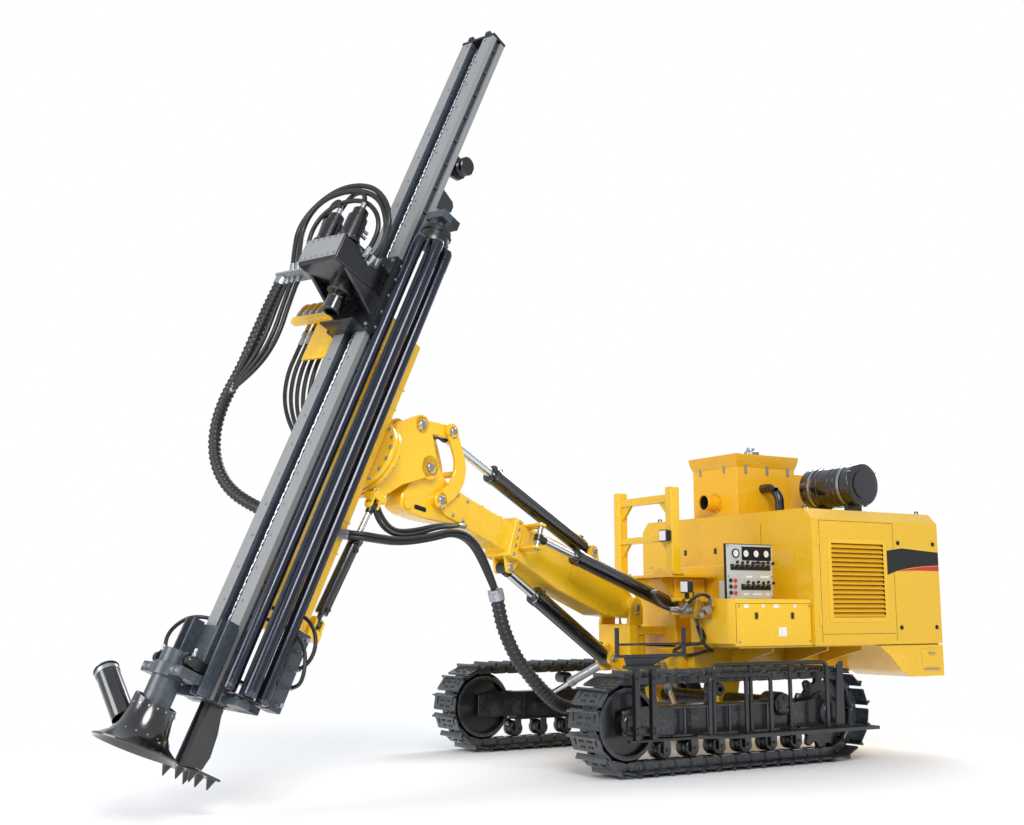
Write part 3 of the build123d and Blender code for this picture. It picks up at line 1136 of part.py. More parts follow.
def nodes():
    """Every piece by its node's name."""
    return {
        "track_left": [track(1)],
        "track_right": [track(-1)],
        "idlers_sprockets": wheels(),
        "track_rollers": rollers(),
        "track_frame_left": [track_frame(1)],
        "track_frame_right": [track_frame(-1)],
        "chassis_frame": [chassis_frame()],
        "swing_bracket": [swing_bracket()],
        "tilt_cylinders": tilt_cylinders(),
        "hood_top": [hood_top()],
        "hood_front": [hood_end(HOOD_FRONT - SHEET, HOOD_FRONT)],
        "hood_rear": [hood_end(HOOD_REAR, HOOD_REAR + SHEET)],
        "hood_left": [hood_side(1)],
        "hood_right": [hood_side(-1)],
        "louvre_panels": louvres(),
        "engine_block": [engine_block()],
        "rear_boxes": rear_box(),
        "box_door": [box_door()],
        "console": [console()],
        "control_panel": [control_panel()],
        "hydraulic_tank": [hydraulic_tank()],
        "valve_block": [valve_block()],
        "rest_frame": [rest_frame()],
        "dust_collector": [dust_collector()],
        "air_filter": [air_filter()],
        "exhaust_elbow": [exhaust()],
        "lamps": lamps(),
        "cradle": [cradle()],
        "step_deck": [step_deck()],
        "step_rails": step_rails(),
        "swing_post": [swing_post()],
        "boom": [boom()],
        "swing_lug": [swing_lug()],
        "bent_link": [bent_link()],
        "top_link": [top_link()],
        "mast_bracket": [mast_bracket()],
        "roll_lug": [roll_lug()],
        "lift_barrel": [lift_barrel()],
        "lift_rod": [lift_rod()],
        "pitch_barrel": [pitch_barrel()],
        "pitch_rod": [pitch_rod()],
        "swing_cross": [swing_cross()],
        "swing_barrel": [swing_barrel()],
        "swing_rod": [swing_rod()],
        "carrier": [carrier()],
        "roll_barrel": [roll_barrel()],
        "roll_rod": [roll_rod()],
        "mast_beam": [mast_beam()],
        "mast_top": [mast_top()],
        "back_bracket": back_bracket(),
        "feed_chain": [feed_chain()],
        "foot_clamp": [foot_clamp()],
        "foot_plate": [foot_plate()],
        "foot_box": [foot_box()],
        "dust_hood": [dust_hood()],
        "head_sled": [head_sled()],
        "rotary_head": [rotary_head()],
        "spindle": [spindle()],
        "magazine": [magazine()],
    }


def solids_of(shapes):
    """The plain solids in a list of shapes."""
    found = []
    for shape in shapes:
        found.extend(shape.solids())
    return found


def middle_shift(parts):
    """How far to move everything so that the origin is under the middle of the box."""
    boxes = [Compound(children=solids).bounding_box() for solids in parts.values()]
    low_x = min(box.min.X for box in boxes)
    high_x = max(box.max.X for box in boxes)
    low_y = min(box.min.Y for box in boxes)
    high_y = max(box.max.Y for box in boxes)
    return Vector(-(low_x + high_x) / 2, -(low_y + high_y) / 2, 0)


def main():
    """Build every node and write its file."""
    os.makedirs("parts", exist_ok=True)
    parts = {name: solids_of(shapes) for name, shapes in nodes().items()}
    shift = middle_shift(parts)
    for name, solids in parts.items():
        moved = [solid.moved(Location(shift)) for solid in solids]
        export_step(Compound(children=moved), f"parts/{name}.step")
    print("shift", round(shift.X, 3), round(shift.Y, 3), "nodes", len(parts))
    return shift


if __name__ == "__main__":
    main()
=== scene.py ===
# %% [markdown]
# # A crawler drill rig, dressed
# The machine drills deep holes with a hammer that works at the bottom of the hole. A yellow housing with
# the engine stands on two black tracks, a yellow boom reaches forward from it, and the boom holds a tall
# slate-grey mast with a rotary head, a magazine of drill rods and a dust hood at its foot. The bare solids
# come from the frame; this script gives them their real surfaces, edges, bolts, hoses and paint.

# %% Load the frame
import math

import bmesh
import bpy
from mathutils import Matrix, Vector


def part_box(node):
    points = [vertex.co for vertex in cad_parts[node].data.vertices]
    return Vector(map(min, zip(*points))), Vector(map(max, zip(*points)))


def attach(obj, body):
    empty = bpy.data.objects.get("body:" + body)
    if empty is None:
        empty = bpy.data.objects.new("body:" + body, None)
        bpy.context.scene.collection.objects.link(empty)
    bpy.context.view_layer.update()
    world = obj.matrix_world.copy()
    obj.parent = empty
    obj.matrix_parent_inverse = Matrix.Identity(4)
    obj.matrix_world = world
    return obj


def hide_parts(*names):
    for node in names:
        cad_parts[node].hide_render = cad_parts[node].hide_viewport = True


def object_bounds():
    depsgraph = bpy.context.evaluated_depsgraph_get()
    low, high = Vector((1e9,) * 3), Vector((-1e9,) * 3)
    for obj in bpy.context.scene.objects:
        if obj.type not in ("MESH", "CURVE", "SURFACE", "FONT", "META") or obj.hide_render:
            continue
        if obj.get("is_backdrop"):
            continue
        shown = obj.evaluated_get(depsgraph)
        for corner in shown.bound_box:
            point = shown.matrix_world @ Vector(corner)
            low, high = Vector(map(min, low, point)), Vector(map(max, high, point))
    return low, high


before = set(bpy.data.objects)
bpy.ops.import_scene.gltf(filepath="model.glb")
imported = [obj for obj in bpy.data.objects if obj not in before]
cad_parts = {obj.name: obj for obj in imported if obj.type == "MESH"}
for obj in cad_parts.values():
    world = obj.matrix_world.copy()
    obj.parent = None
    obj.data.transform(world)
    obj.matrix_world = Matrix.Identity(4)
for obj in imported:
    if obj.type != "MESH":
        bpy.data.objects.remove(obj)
solid_box = [list(corner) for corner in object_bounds()]
print("solids reach from", solid_box[0], "to", solid_box[1])

# %% [markdown]
# ## Places
# Every piece is drawn in millimetres in the place where it belongs: the machine, the post that swings, the
# boom, the bracket at its tip, or the mast. A matrix for each of these places carries finished pieces into
# the scene, so a bolt on the leaning mast can be written with plain upright numbers.

# %% The places where pieces are drawn
MM = 0.001
left_low, left_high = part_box("track_left")
right_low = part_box("track_right")[0]
ZERO = Vector(((left_low.x + left_high.x) / 2, (left_high.y + right_low.y) / 2, 0))


def direction(yaw, pitch):
    """A unit vector turned about Z by yaw and raised by pitch, both in degrees."""
    level = math.cos(math.radians(pitch))
    return Vector((level * math.cos(math.radians(yaw)), level * math.sin(math.radians(yaw)),
        math.sin(math.radians(pitch))))


def place(origin, along, upward):
    """The matrix of a place, from its origin in millimetres and its first and third directions."""
    side = upward.cross(along)
    turn = Matrix((along, side, upward)).transposed().to_4x4()
    return Matrix.Translation(ZERO + origin * MM) @ turn @ Matrix.Scale(MM, 4)


SWING, INCLINE, LEAN, ROLL = 18.0, 18.5, 24.2, math.radians(-3.4)
UP = Vector((0, 0, 1))
FORWARD = direction(SWING, 0)
SIDE = direction(SWING + 90, 0)
MACHINE = place(Vector((0, 0, 0)), Vector((1, 0, 0)), UP)
POST = place(Vector((100, 0, 0)), FORWARD, UP)
foot_pin = Vector((100, 0, 1100)) + FORWARD * 140
boom_way = direction(SWING, INCLINE)
boom_up = direction(SWING, INCLINE + 90)
BOOM = place(foot_pin, boom_way, boom_up)
tip_pin = foot_pin + boom_way * 2383 + boom_up * 126
mast_out = direction(SWING, LEAN)
mast_back = direction(SWING, LEAN + 90)
BRACKET = place(tip_pin, mast_out, mast_back)
mast_up = mast_back * math.cos(ROLL) - SIDE * math.sin(ROLL)
turn_point = tip_pin + mast_out * 886 - mast_back * 140
MAST = place(turn_point + mast_up * 317.5, mast_out, mast_up)
print("machine's zero is at", tuple(round(value, 4) for value in ZERO))

# %% [markdown]
# ## Camera
# The photograph was taken from the front left at about the height of the track frames, looking slightly up,
# with a moderately long lens. The camera is set from that position and from the three directions of its
# frame.

# %% Camera
yaw, pitch, tilt = 0.551, 0.158, -0.001
look = Vector((-math.sin(yaw) * math.cos(pitch), -math.cos(yaw) * math.cos(pitch), math.sin(pitch)))
right = Vector((-math.cos(yaw), math.sin(yaw), 0))
above = right.cross(look)
right, above = (right * math.cos(tilt) + above * math.sin(tilt),
                above * math.cos(tilt) - right * math.sin(tilt))
camera_data = bpy.data.cameras.new("camera")
camera_data.lens = 44.03
camera_data.sensor_width = 36.0
camera_data.sensor_fit = "HORIZONTAL"
camera_data.clip_end = 200.0
camera = bpy.data.objects.new("camera", camera_data)
bpy.context.scene.collection.objects.link(camera)
camera.matrix_world = Matrix.Translation(ZERO + Vector((5.988, 7.818, 1.071))) @ Matrix((right, above,
    -look)).transposed().to_4x4()
bpy.context.scene.camera = camera

# %% [markdown]
# ## Finishes
# The rig is enamelled steel, so most of it is a few paints. Real enamel is never one flat colour: it is a
# little uneven, thin and bright along sharp edges, rough where dust settled, and its surface has a fine
# orange-peel ripple. Those effects are shared by many finishes, so each is a node group that is built once.

# %% Helpers for node groups
def node_group(name, inputs, outputs):
    """An empty shader node group with named sockets."""
    group = bpy.data.node_groups.new(name, "ShaderNodeTree")
    for label, kind, value in inputs:
        socket = group.interface.new_socket(label, in_out="INPUT", socket_type=kind)
        if value is not None:
            socket.default_value = value
    for label, kind in outputs:
        group.interface.new_socket(label, in_out="OUTPUT", socket_type=kind)
    start = group.nodes.new("NodeGroupInput")
    end = group.nodes.new("NodeGroupOutput")
    return group, start, end


def add(tree, kind, **settings):
    """A node with its settings and input values."""
    node = tree.nodes.new(kind)
    for key, value in settings.items():
        if key.startswith("in_"):
            node.inputs[int(key[3:])].default_value = value
        else:
            setattr(node, key, value)
    return node


def math_node(tree, operation, first, second, clamp=False):
    """A math node between two sockets or values."""
    node = add(tree, "ShaderNodeMath", operation=operation, use_clamp=clamp)
    for index, value in enumerate((first, second)):
        if isinstance(value, (int, float)):
            node.inputs[index].default_value = value
        else:
            tree.links.new(value, node.inputs[index])
    return node.outputs[0]


def ramp(tree, value, low, high):
    """A smooth step of a value from low to high."""
    node = add(tree, "ShaderNodeMapRange", interpolation_type="SMOOTHSTEP")
    node.inputs["From Min"].default_value = low
    node.inputs["From Max"].default_value = high
    tree.links.new(value, node.inputs["Value"])
    return node.outputs["Result"]


# %% Uneven paint, worn edges, settled dust and surface ripple
def build_mottle():
    """Slow and fast unevenness of a surface, from 0 to 1."""
    group, start, end = node_group("Mottle", [("Scale", "NodeSocketFloat", 3.0)],
        [("Value", "NodeSocketFloat")])
    where = add(group, "ShaderNodeTexCoord")
    slow = add(group, "ShaderNodeTexNoise", in_3=4.0)
    fast = add(group, "ShaderNodeTexNoise", in_3=3.0)
    group.links.new(where.outputs["Object"], slow.inputs["Vector"])
    group.links.new(where.outputs["Object"], fast.inputs["Vector"])
    group.links.new(start.outputs["Scale"], slow.inputs["Scale"])
    group.links.new(math_node(group, "MULTIPLY", start.outputs["Scale"], 9.0), fast.inputs["Scale"])
    mixed = math_node(group, "ADD", math_node(group, "MULTIPLY", slow.outputs[0], 0.65),
        math_node(group, "MULTIPLY", fast.outputs[0], 0.35))
    group.links.new(ramp(group, mixed, 0.3, 0.7), end.inputs["Value"])
    return group


def build_edge_wear():
    """Bare spots along sharp edges, from the mesh's own pointiness and a broken noise."""
    group, start, end = node_group("Edge wear",
        [("Amount", "NodeSocketFloat", 0.5), ("Grain", "NodeSocketFloat", 40.0)],
                                   [("Mask", "NodeSocketFloat")])
    shape = add(group, "ShaderNodeNewGeometry")
    where = add(group, "ShaderNodeTexCoord")
    noise = add(group, "ShaderNodeTexNoise", in_3=5.0)
    group.links.new(where.outputs["Object"], noise.inputs["Vector"])
    group.links.new(start.outputs["Grain"], noise.inputs["Scale"])
    edge = ramp(group, shape.outputs["Pointiness"], 0.515, 0.60)
    broken = math_node(group, "SUBTRACT", math_node(group, "ADD", edge, noise.outputs[0]), 0.95)
    mask = math_node(group, "MULTIPLY", math_node(group, "MULTIPLY", broken, start.outputs["Amount"]), 3.0,
        clamp=True)
    group.links.new(mask, end.inputs["Mask"])
    return group


def build_dust():
    """Dust thrown up from the ground and settled on faces that look up."""
    group, start, end = node_group("Settled dust",
        [("Amount", "NodeSocketFloat", 0.4), ("Reach", "NodeSocketFloat", 1.2)],
                                   [("Mask", "NodeSocketFloat")])
    where = add(group, "ShaderNodeTexCoord")
    shape = add(group, "ShaderNodeNewGeometry")
    height = add(group, "ShaderNodeSeparateXYZ")
    facing = add(group, "ShaderNodeSeparateXYZ")
    noise = add(group, "ShaderNodeTexNoise", in_2=9.0, in_3=6.0)
    group.links.new(where.outputs["Object"], height.inputs[0])
    group.links.new(where.outputs["Object"], noise.inputs["Vector"])
    group.links.new(shape.outputs["Normal"], facing.inputs[0])
    low = math_node(group, "SUBTRACT", 1.0,
        math_node(group, "DIVIDE", height.outputs["Z"], start.outputs["Reach"]), clamp=True)
    level = math_node(group, "MULTIPLY", ramp(group, facing.outputs["Z"], 0.3, 0.95), 0.45)
    spread = math_node(group, "MULTIPLY", math_node(group, "ADD", low, level),
        ramp(group, noise.outputs[0], 0.34, 0.68))
    group.links.new(math_node(group, "MULTIPLY", spread, start.outputs["Amount"], clamp=True),
        end.inputs["Mask"])
    return group


def build_ripple():
    """The fine ripple of sprayed enamel or the grain of a casting, as a height."""
    group, start, end = node_group("Ripple", [("Scale", "NodeSocketFloat", 300.0)],
        [("Height", "NodeSocketFloat")])
    where = add(group, "ShaderNodeTexCoord")
    noise = add(group, "ShaderNodeTexNoise", in_3=2.0)
    group.links.new(where.outputs["Object"], noise.inputs["Vector"])
    group.links.new(start.outputs["Scale"], noise.inputs["Scale"])
    group.links.new(noise.outputs[0], end.inputs["Height"])
    return group


MOTTLE, EDGE_WEAR, DUST, RIPPLE = build_mottle(), build_edge_wear(), build_dust(), build_ripple()
print("node groups:", MOTTLE.name, EDGE_WEAR.name, DUST.name, RIPPLE.name)


# %% [markdown]
# ## Mixing a finish
# A finish is one Principled shader. Its colour starts as the paint, is made a little darker in patches,
# shows primer or steel at worn edges and ends under dust. The same masks also change the roughness, so that
# dust looks dull and bare steel shines.

# %% One function that mixes a finish
def linear(colour):
    """A colour written as hexadecimal, in the linear values that shaders use."""
    values = [int(colour[index:index + 2], 16) / 255 for index in (0, 2, 4)]
    return [value / 12.92 if value <= 0.04045 else ((value + 0.055) / 1.055) ** 2.4
        for value in values] + [1.0]


def mix_colour(tree, mask, below, above_colour):
    """A colour mixed by a mask: below where it is 0, the other where it is 1."""
    node = add(tree, "ShaderNodeMix", data_type="RGBA")
    tree.links.new(mask, node.inputs[0])
    for socket, value in ((node.inputs[6], below), (node.inputs[7], above_colour)):
        if isinstance(value, list):
            socket.default_value = value
        else:
            tree.links.new(value, socket)
    return node.outputs[2]


def use(tree, group, **values):
    """A group node with its own values."""
    node = add(tree, "ShaderNodeGroup", node_tree=group)
    for key, value in values.items():
        node.inputs[key].default_value = value
    return node.outputs[0]


DUST_COLOUR = "8d8574"


def finish(name, colour, rough=0.4, metal=0.0, coat=0.0, uneven=0.12, wear=0.0, wear_colour="5a5854",
    dust=0.1,
           reach=1.2, ripple=300.0, bump=0.02, mottle=3.0):
    """A painted, cast or bare metal finish."""
    material = bpy.data.materials.new(name)
    material.use_nodes = True
    tree = material.node_tree
    shader = tree.nodes["Principled BSDF"]
    shader.inputs["Coat Weight"].default_value = coat
    shader.inputs["Coat Roughness"].default_value = 0.08
    shader.inputs["Metallic"].default_value = metal
    patches = use(tree, MOTTLE, Scale=mottle)
    base = linear(colour)
    darker = [channel * 0.72 for channel in base[:3]] + [1.0]
    shade = mix_colour(tree, math_node(tree, "MULTIPLY", patches, uneven * 2), base, darker)
    roughness = math_node(tree, "ADD", math_node(tree, "MULTIPLY", patches, 0.16), rough - 0.05)
    if wear:
        worn = use(tree, EDGE_WEAR, Amount=wear)
        shade = mix_colour(tree, worn, shade, linear(wear_colour))
        roughness = math_node(tree, "ADD", roughness, math_node(tree, "MULTIPLY", worn, 0.12))
    if dust:
        dusty = use(tree, DUST, Amount=dust, Reach=reach)
        shade = mix_colour(tree, dusty, shade, linear(DUST_COLOUR))
        roughness = math_node(tree, "ADD", roughness, math_node(tree, "MULTIPLY", dusty, 0.4), clamp=True)
    tree.links.new(shade, shader.inputs["Base Color"])
    tree.links.new(roughness, shader.inputs["Roughness"])
    relief = add(tree, "ShaderNodeBump", in_0=1.0, in_1=bump * 0.01)
    tree.links.new(use(tree, RIPPLE, Scale=ripple), relief.inputs["Height"])
    tree.links.new(relief.outputs[0], shader.inputs["Normal"])
    return material


# %% The rig's finishes
FINISHES = {
    "yellow": finish("yellow_enamel", "f2bf16", rough=0.27, coat=0.6, uneven=0.03, wear=0.08,
        wear_colour="8a6a20", dust=0.0, ripple=90.0, bump=0.012),
    "orange": finish("deep_yellow_enamel", "f0b40c", rough=0.32, coat=0.4, uneven=0.04, wear=0.10,
        wear_colour="8a6a20", dust=0.0),
    "black": finish("black_enamel", "07080a", rough=0.28, coat=0.4, uneven=0.05, wear=0.10,
        wear_colour="4a4e52", dust=0.015),
    "gloss": finish("gloss_black_enamel", "0b0c0e", rough=0.16, coat=1.0, uneven=0.05, dust=0.03),
    "iron": finish("track_iron", "08090b", rough=0.30, coat=0.5, uneven=0.05, wear=0.22,
        wear_colour="6a7076", dust=0.02, reach=0.5, ripple=120.0, bump=0.04),
    "slate": finish("slate_enamel", "29323c", rough=0.33, coat=0.4, uneven=0.04, wear=0.12,
        wear_colour="7c8288", dust=0.015),
    "rail": finish("ground_rail", "8a8b8c", rough=0.36, metal=0.15, uneven=0.08, dust=0.0, mottle=8.0),
    "rod": finish("blued_rod", "141a2b", rough=0.18, metal=0.5, coat=0.6, uneven=0.10, wear=0.2,
        wear_colour="c7cbd2", dust=0.02, mottle=6.0),
    "chrome": finish("hard_chrome", "dfe2e5", rough=0.10, metal=1.0, uneven=0.05, dust=0.0),
    "steel": finish("zinc_steel", "a9adb2", rough=0.30, metal=0.9, uneven=0.18, dust=0.05, ripple=500.0),
    "brass": finish("yellow_zinc", "c99a3a", rough=0.30, metal=0.9, uneven=0.15, dust=0.04),
    "rubber": finish("hose_rubber", "101113", rough=0.42, coat=0.12, uneven=0.2, dust=0.10, ripple=700.0,
        bump=0.04),
    "plastic": finish("black_plastic", "121315", rough=0.45, uneven=0.1, dust=0.05),
    "silver": finish("bright_panel", "c9cbc8", rough=0.35, metal=0.3, uneven=0.06, dust=0.02),
    "white": finish("blank_plate", "e9e9e4", rough=0.4, uneven=0.05, dust=0.02),
    "lens": finish("lamp_lens", "f4f5f2", rough=0.08, coat=1.0, uneven=0.03, dust=0.02),
    "red": finish("red_stripe", "c22414", rough=0.3, coat=0.5, uneven=0.05, dust=0.03),
    # Near black for dark joints between panels, and painted shade behind slats, inside openings and in
    # slots.
    "dark": finish("shaded_inside", "0a0a0b", rough=0.8, uneven=0.2, dust=0.0),
}
SLOTS = {"yellow": "yellow_paint", "orange": "yellow_paint", "black": "black_paint", "gloss": "gloss_black",
    "iron": "track_iron",
         "slate": "slate_paint", "rail": "bare_steel", "rod": "slate_paint", "chrome": "bright_steel",
             "steel": "bright_steel"}
print(len(FINISHES), "finishes")


# %% [markdown]
# ## Shapes
# All new shapes come from a few operators: a cube, a cone with equal ends for bars, a flat outline that is
# extruded, and a profile that is spun. Each gets a small bevel, because no real plate has a perfectly sharp
# edge and the bevel is what catches the light.

# %% Boxes, bars, plates and turned shapes
def soften(mesh, edges, width, segments=2):
    """Round some edges by a width."""
    if width > 0:
        bmesh.ops.bevel(mesh, geom=list(edges), offset=width, offset_type="OFFSET", affect="EDGES",
            segments=segments,
                        profile=0.5, material=-1, clamp_overlap=True)


def box(mesh, x, y, z, soft=4.0, segments=2):
    """A box between pairs of X, Y and Z, with softened edges."""
    middle = Vector(((x[0] + x[1]) / 2, (y[0] + y[1]) / 2, (z[0] + z[1]) / 2))
    size = Vector((abs(x[1] - x[0]), abs(y[1] - y[0]), abs(z[1] - z[0]), 1))
    made = bmesh.ops.create_cube(mesh, size=1, matrix=Matrix.Translation(middle) @ Matrix.Diagonal(size))
    soften(mesh, {edge for vert in made["verts"] for edge in vert.link_edges},
        min(soft, min(size[:3]) * 0.3), segments)


def bar(mesh, start, end, radius, tip=None, sides=24, soft=1.5):
    """A round bar between two points; with another tip radius it is a cone."""
    start, end = Vector(start), Vector(end)
    way = end - start
    turn = way.to_track_quat("Z", "Y").to_matrix().to_4x4()
    tip = radius if tip is None else tip
    made = bmesh.ops.create_cone(mesh, cap_ends=True, cap_tris=False, segments=sides, radius1=radius,
        radius2=tip,
                                 depth=way.length, matrix=Matrix.Translation((start + end) / 2) @ turn)
    rims = {edge for vert in made["verts"] for edge in vert.link_edges
        if any(len(face.verts) > 4 for face in edge.link_faces)}
    soften(mesh, rims, min(soft, way.length * 0.3, min(radius, tip) * 0.4), 2)


LAYS = {"side": lambda a, b, depth: (a, depth, b), "level": lambda a, b, depth: (a, b, depth),
    "front": lambda a, b, depth: (depth, a, b)}


def plate(mesh, outline, depth, lay="side", soft=2.5, corner=0.0):
    """A flat outline made as thick as from depth[0] to depth[1]; corner rounds the outline's own corners."""
    spot = LAYS[lay]
    verts = [mesh.verts.new(spot(a, b, depth[0])) for a, b in outline]
    face = mesh.faces.new(verts)
    raised = bmesh.ops.extrude_face_region(mesh, geom=[face])["geom"]
    top = [item for item in raised if isinstance(item, bmesh.types.BMVert)]
    push = Vector(spot(0, 0, depth[1])) - Vector(spot(0, 0, depth[0]))
    bmesh.ops.translate(mesh, verts=top, vec=push)
    around = {edge for vert in top + verts for edge in vert.link_edges}
    bmesh.ops.recalc_face_normals(mesh, faces=list({face for edge in around for face in edge.link_faces}))
    if corner > 0:
        upright = [edge for edge in around
            if abs((edge.verts[0].co - edge.verts[1].co).normalized().dot(push.normalized())) > 0.99]
        made = bmesh.ops.bevel(mesh, geom=upright, offset=corner, offset_type="OFFSET", affect="EDGES",
            segments=4, profile=0.5,
                               material=-1, clamp_overlap=True)
        around = {edge for face in made["faces"] for vert in face.verts for edge in vert.link_edges}
        around |= {edge for vert in top + verts if vert.is_valid for edge in vert.link_edges}
    rims = [edge for edge in around if edge.is_valid and len(edge.link_faces) == 2
            and any(abs(face.normal.dot(push.normalized())) > 0.99 for face in edge.link_faces)
                and edge.calc_face_angle(0) > 1.2]
    soften(mesh, rims, min(soft, push.length * 0.3), 1)


def turned(mesh, profile, start, along, steps=40):
    """A profile of (radius, height) pairs spun about an axis through start."""
    start, along = Vector(start), Vector(along).normalized()
    turn = along.to_track_quat("Z", "Y").to_matrix()
    verts = [mesh.verts.new(start + turn @ Vector((radius, 0, height))) for radius, height in profile]
    edges = [mesh.edges.new(pair) for pair in zip(verts, verts[1:])]
    made = bmesh.ops.spin(mesh, geom=verts + edges, cent=start, axis=along, dvec=(0, 0, 0), angle=math.tau,
        steps=steps, use_merge=True)
    return made


def tube(mesh, start, end, outside, inside, sides=32, soft=1.0):
    """An open tube between two points."""
    length = (Vector(end) - Vector(start)).length
    lip = min(soft, (outside - inside) * 0.4)
    profile = [(inside, lip), (inside + lip, 0), (outside - lip, 0), (outside, lip),
        (outside, length - lip), (outside - lip, length),
               (inside + lip, length), (inside, length - lip), (inside, lip)]
    turned(mesh, profile, start, Vector(end) - Vector(start), sides)


def bolt(mesh, at, out, size=11.0, washer=True):
    """A hexagon head on its washer, standing on a face that looks along out."""
    at, out = Vector(at), Vector(out).normalized()
    if washer:
        bar(mesh, at, at + out * size * 0.22, size * 1.45, sides=16, soft=0.6)
    bar(mesh, at, at + out * size * 0.95, size, sides=6, soft=size * 0.12)


def lug(mesh, middle, radius, depth, base, lay="side", soft=2.5):
    """A lug plate: a round end about a pin, running out to the two points of its base."""
    centre = Vector(middle)
    first, last = Vector(base[0]), Vector(base[1])
    a = math.atan2(first.y - centre.y, first.x - centre.x)
    b = math.atan2(last.y - centre.y, last.x - centre.x)
    reach_a = math.acos(max(-1, min(1, radius / max(radius, (first - centre).length))))
    reach_b = math.acos(max(-1, min(1, radius / max(radius, (last - centre).length))))
    begin, finish_angle = a + reach_a, b - reach_b
    while finish_angle < begin:
        finish_angle += math.tau
    arc = [(centre.x + radius * math.cos(begin + (finish_angle - begin) * step / 12),
            centre.y + radius * math.sin(begin + (finish_angle - begin) * step / 12)) for step in range(13)]
    plate(mesh, [tuple(first)] + arc + [tuple(last)], depth, lay, soft)


# %% Bent tubes
def rail(mesh, points, radius=15.0):
    """A bent tube through corner points, with round corners."""
    curve = bpy.data.curves.new("rail", "CURVE")
    curve.dimensions = "3D"
    curve.bevel_depth = radius
    curve.bevel_resolution = 4
    curve.use_fill_caps = True
    spline = curve.splines.new("POLY")
    spots = []
    for index, point in enumerate(points):
        point = Vector(point)
        if 0 < index < len(points) - 1:
            before, after = Vector(points[index - 1]), Vector(points[index + 1])
            cut = 55.0
            a, b = point + (before - point).normalized() * cut, point + (after - point).normalized() * cut
            for share in range(7):
                s = share / 6
                spots.append(a * (1 - s) ** 2 + point * 2 * s * (1 - s) + b * s * s)
        else:
            spots.append(point)
    spline.points.add(len(spots) - 1)
    for spot, target in zip(spots, spline.points):
        target.co = (*spot, 1)
    holder = bpy.data.objects.new("rail", curve)
    data = bpy.data.meshes.new_from_object(holder)
    mesh.from_mesh(data)
    bpy.data.objects.remove(holder)
    bpy.data.curves.remove(curve)
    bpy.data.meshes.remove(data)


# %% [markdown]
# ## Pieces
# Everything of one region that has one finish becomes one piece. A kit collects the meshes of a region,
# moves them into place when they are finished, and tells the frame on which moving part they ride.

# %% A kit of pieces
class Kit:
    """The pieces of one region, one mesh for each finish, all riding on one body."""

    def __init__(self, name, where, body):
        self.name, self.where, self.body, self.meshes = name, where, body, {}

    def __getitem__(self, key):
        if key not in self.meshes:
            self.meshes[key] = bmesh.new()
        return self.meshes[key]

    def mirrored(self, key="all", about=0.0):
        """Copy what was drawn so far to the other side of the region's middle plane."""
        for name, mesh in self.meshes.items():
            if key in ("all", name):
                copy = bmesh.ops.duplicate(mesh, geom=mesh.verts[:] + mesh.edges[:] + mesh.faces[:])["geom"]
                verts = [item for item in copy if isinstance(item, bmesh.types.BMVert)]
                faces = [item for item in copy if isinstance(item, bmesh.types.BMFace)]
                bmesh.ops.scale(mesh, verts=verts, vec=(1, -1, 1), space=Matrix.Translation((0, -about, 0)))
                bmesh.ops.reverse_faces(mesh, faces=faces)

    def done(self, *nodes):
        """Make the objects; the first stands for the solids that are named."""
        total = 0
        for index, (key, mesh) in enumerate(self.meshes.items()):
            bmesh.ops.remove_doubles(mesh, verts=mesh.verts[:], dist=0.01)
            bmesh.ops.recalc_face_normals(mesh, faces=mesh.faces[:])
            mesh.transform(self.where)
            data = bpy.data.meshes.new(f"{self.name}_{key}")
            mesh.to_mesh(data)
            mesh.free()
            data.materials.append(FINISHES[key])
            data.polygons.foreach_set("use_smooth", [True] * len(data.polygons))
            data.set_sharp_from_angle(angle=math.radians(38))
            piece = bpy.data.objects.new(data.name, data)
            bpy.context.scene.collection.objects.link(piece)
            modifier = piece.modifiers.new("even_shading", "WEIGHTED_NORMAL")
            modifier.keep_sharp = True
            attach(piece, self.body)
            if key in SLOTS:
                SLOTS[key]
            if index == 0 and nodes:
                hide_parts(*nodes)
            total += len(data.polygons)
        print(self.name, "faces", total)


def stamp(mesh, draw, matrices):
    """Draw a small pattern once and repeat it at many places."""
    pattern = bmesh.new()
    draw(pattern)
    data = bpy.data.meshes.new("pattern")
    pattern.to_mesh(data)
    pattern.free()
    for matrix in matrices:
        before = len(mesh.verts)
        mesh.from_mesh(data)
        mesh.verts.ensure_lookup_table()
        bmesh.ops.transform(mesh, matrix=matrix, verts=mesh.verts[before:])
    bpy.data.meshes.remove(data)


# %% [markdown]
# ## Tracks
# A track is a chain of forged links with a steel shoe bolted on each link. One shoe with its grouser bar,
# bolts and links is drawn once, flat, and stamped forty times along a loop that has two straight runs and
# two half circles.

# %% One shoe and the loop
SHOES, BASE, WHEEL_Z, PLATE_R, TRACK_Y, HALF_SHOE = 40, 1820.0, 341.0, 306.0, 941.0, 168.5


def loop_spot(way, radius):
    """A place on the loop, with X along it and Z outward."""
    half, arc = BASE / 2, math.pi * (PLATE_R - 31)
    way = way % (2 * BASE + 2 * arc)
    for number, length in enumerate((BASE, arc, BASE, arc)):
        if way < length:
            break
        way -= length
    if number in (0, 2):
        turn = -90 if number == 0 else 90
        x = half - way if number == 0 else way - half
    else:
        turn = (-90 if number == 1 else 90) - 180 * way / arc
        x = -half if number == 1 else half
    out = Vector((math.cos(math.radians(turn)), 0, math.sin(math.radians(turn))))
    spot = Vector((x, 0, WHEEL_Z)) + out * radius
    return Matrix.Translation(spot) @ Matrix.Rotation(math.radians(90 - turn), 4, "Y")


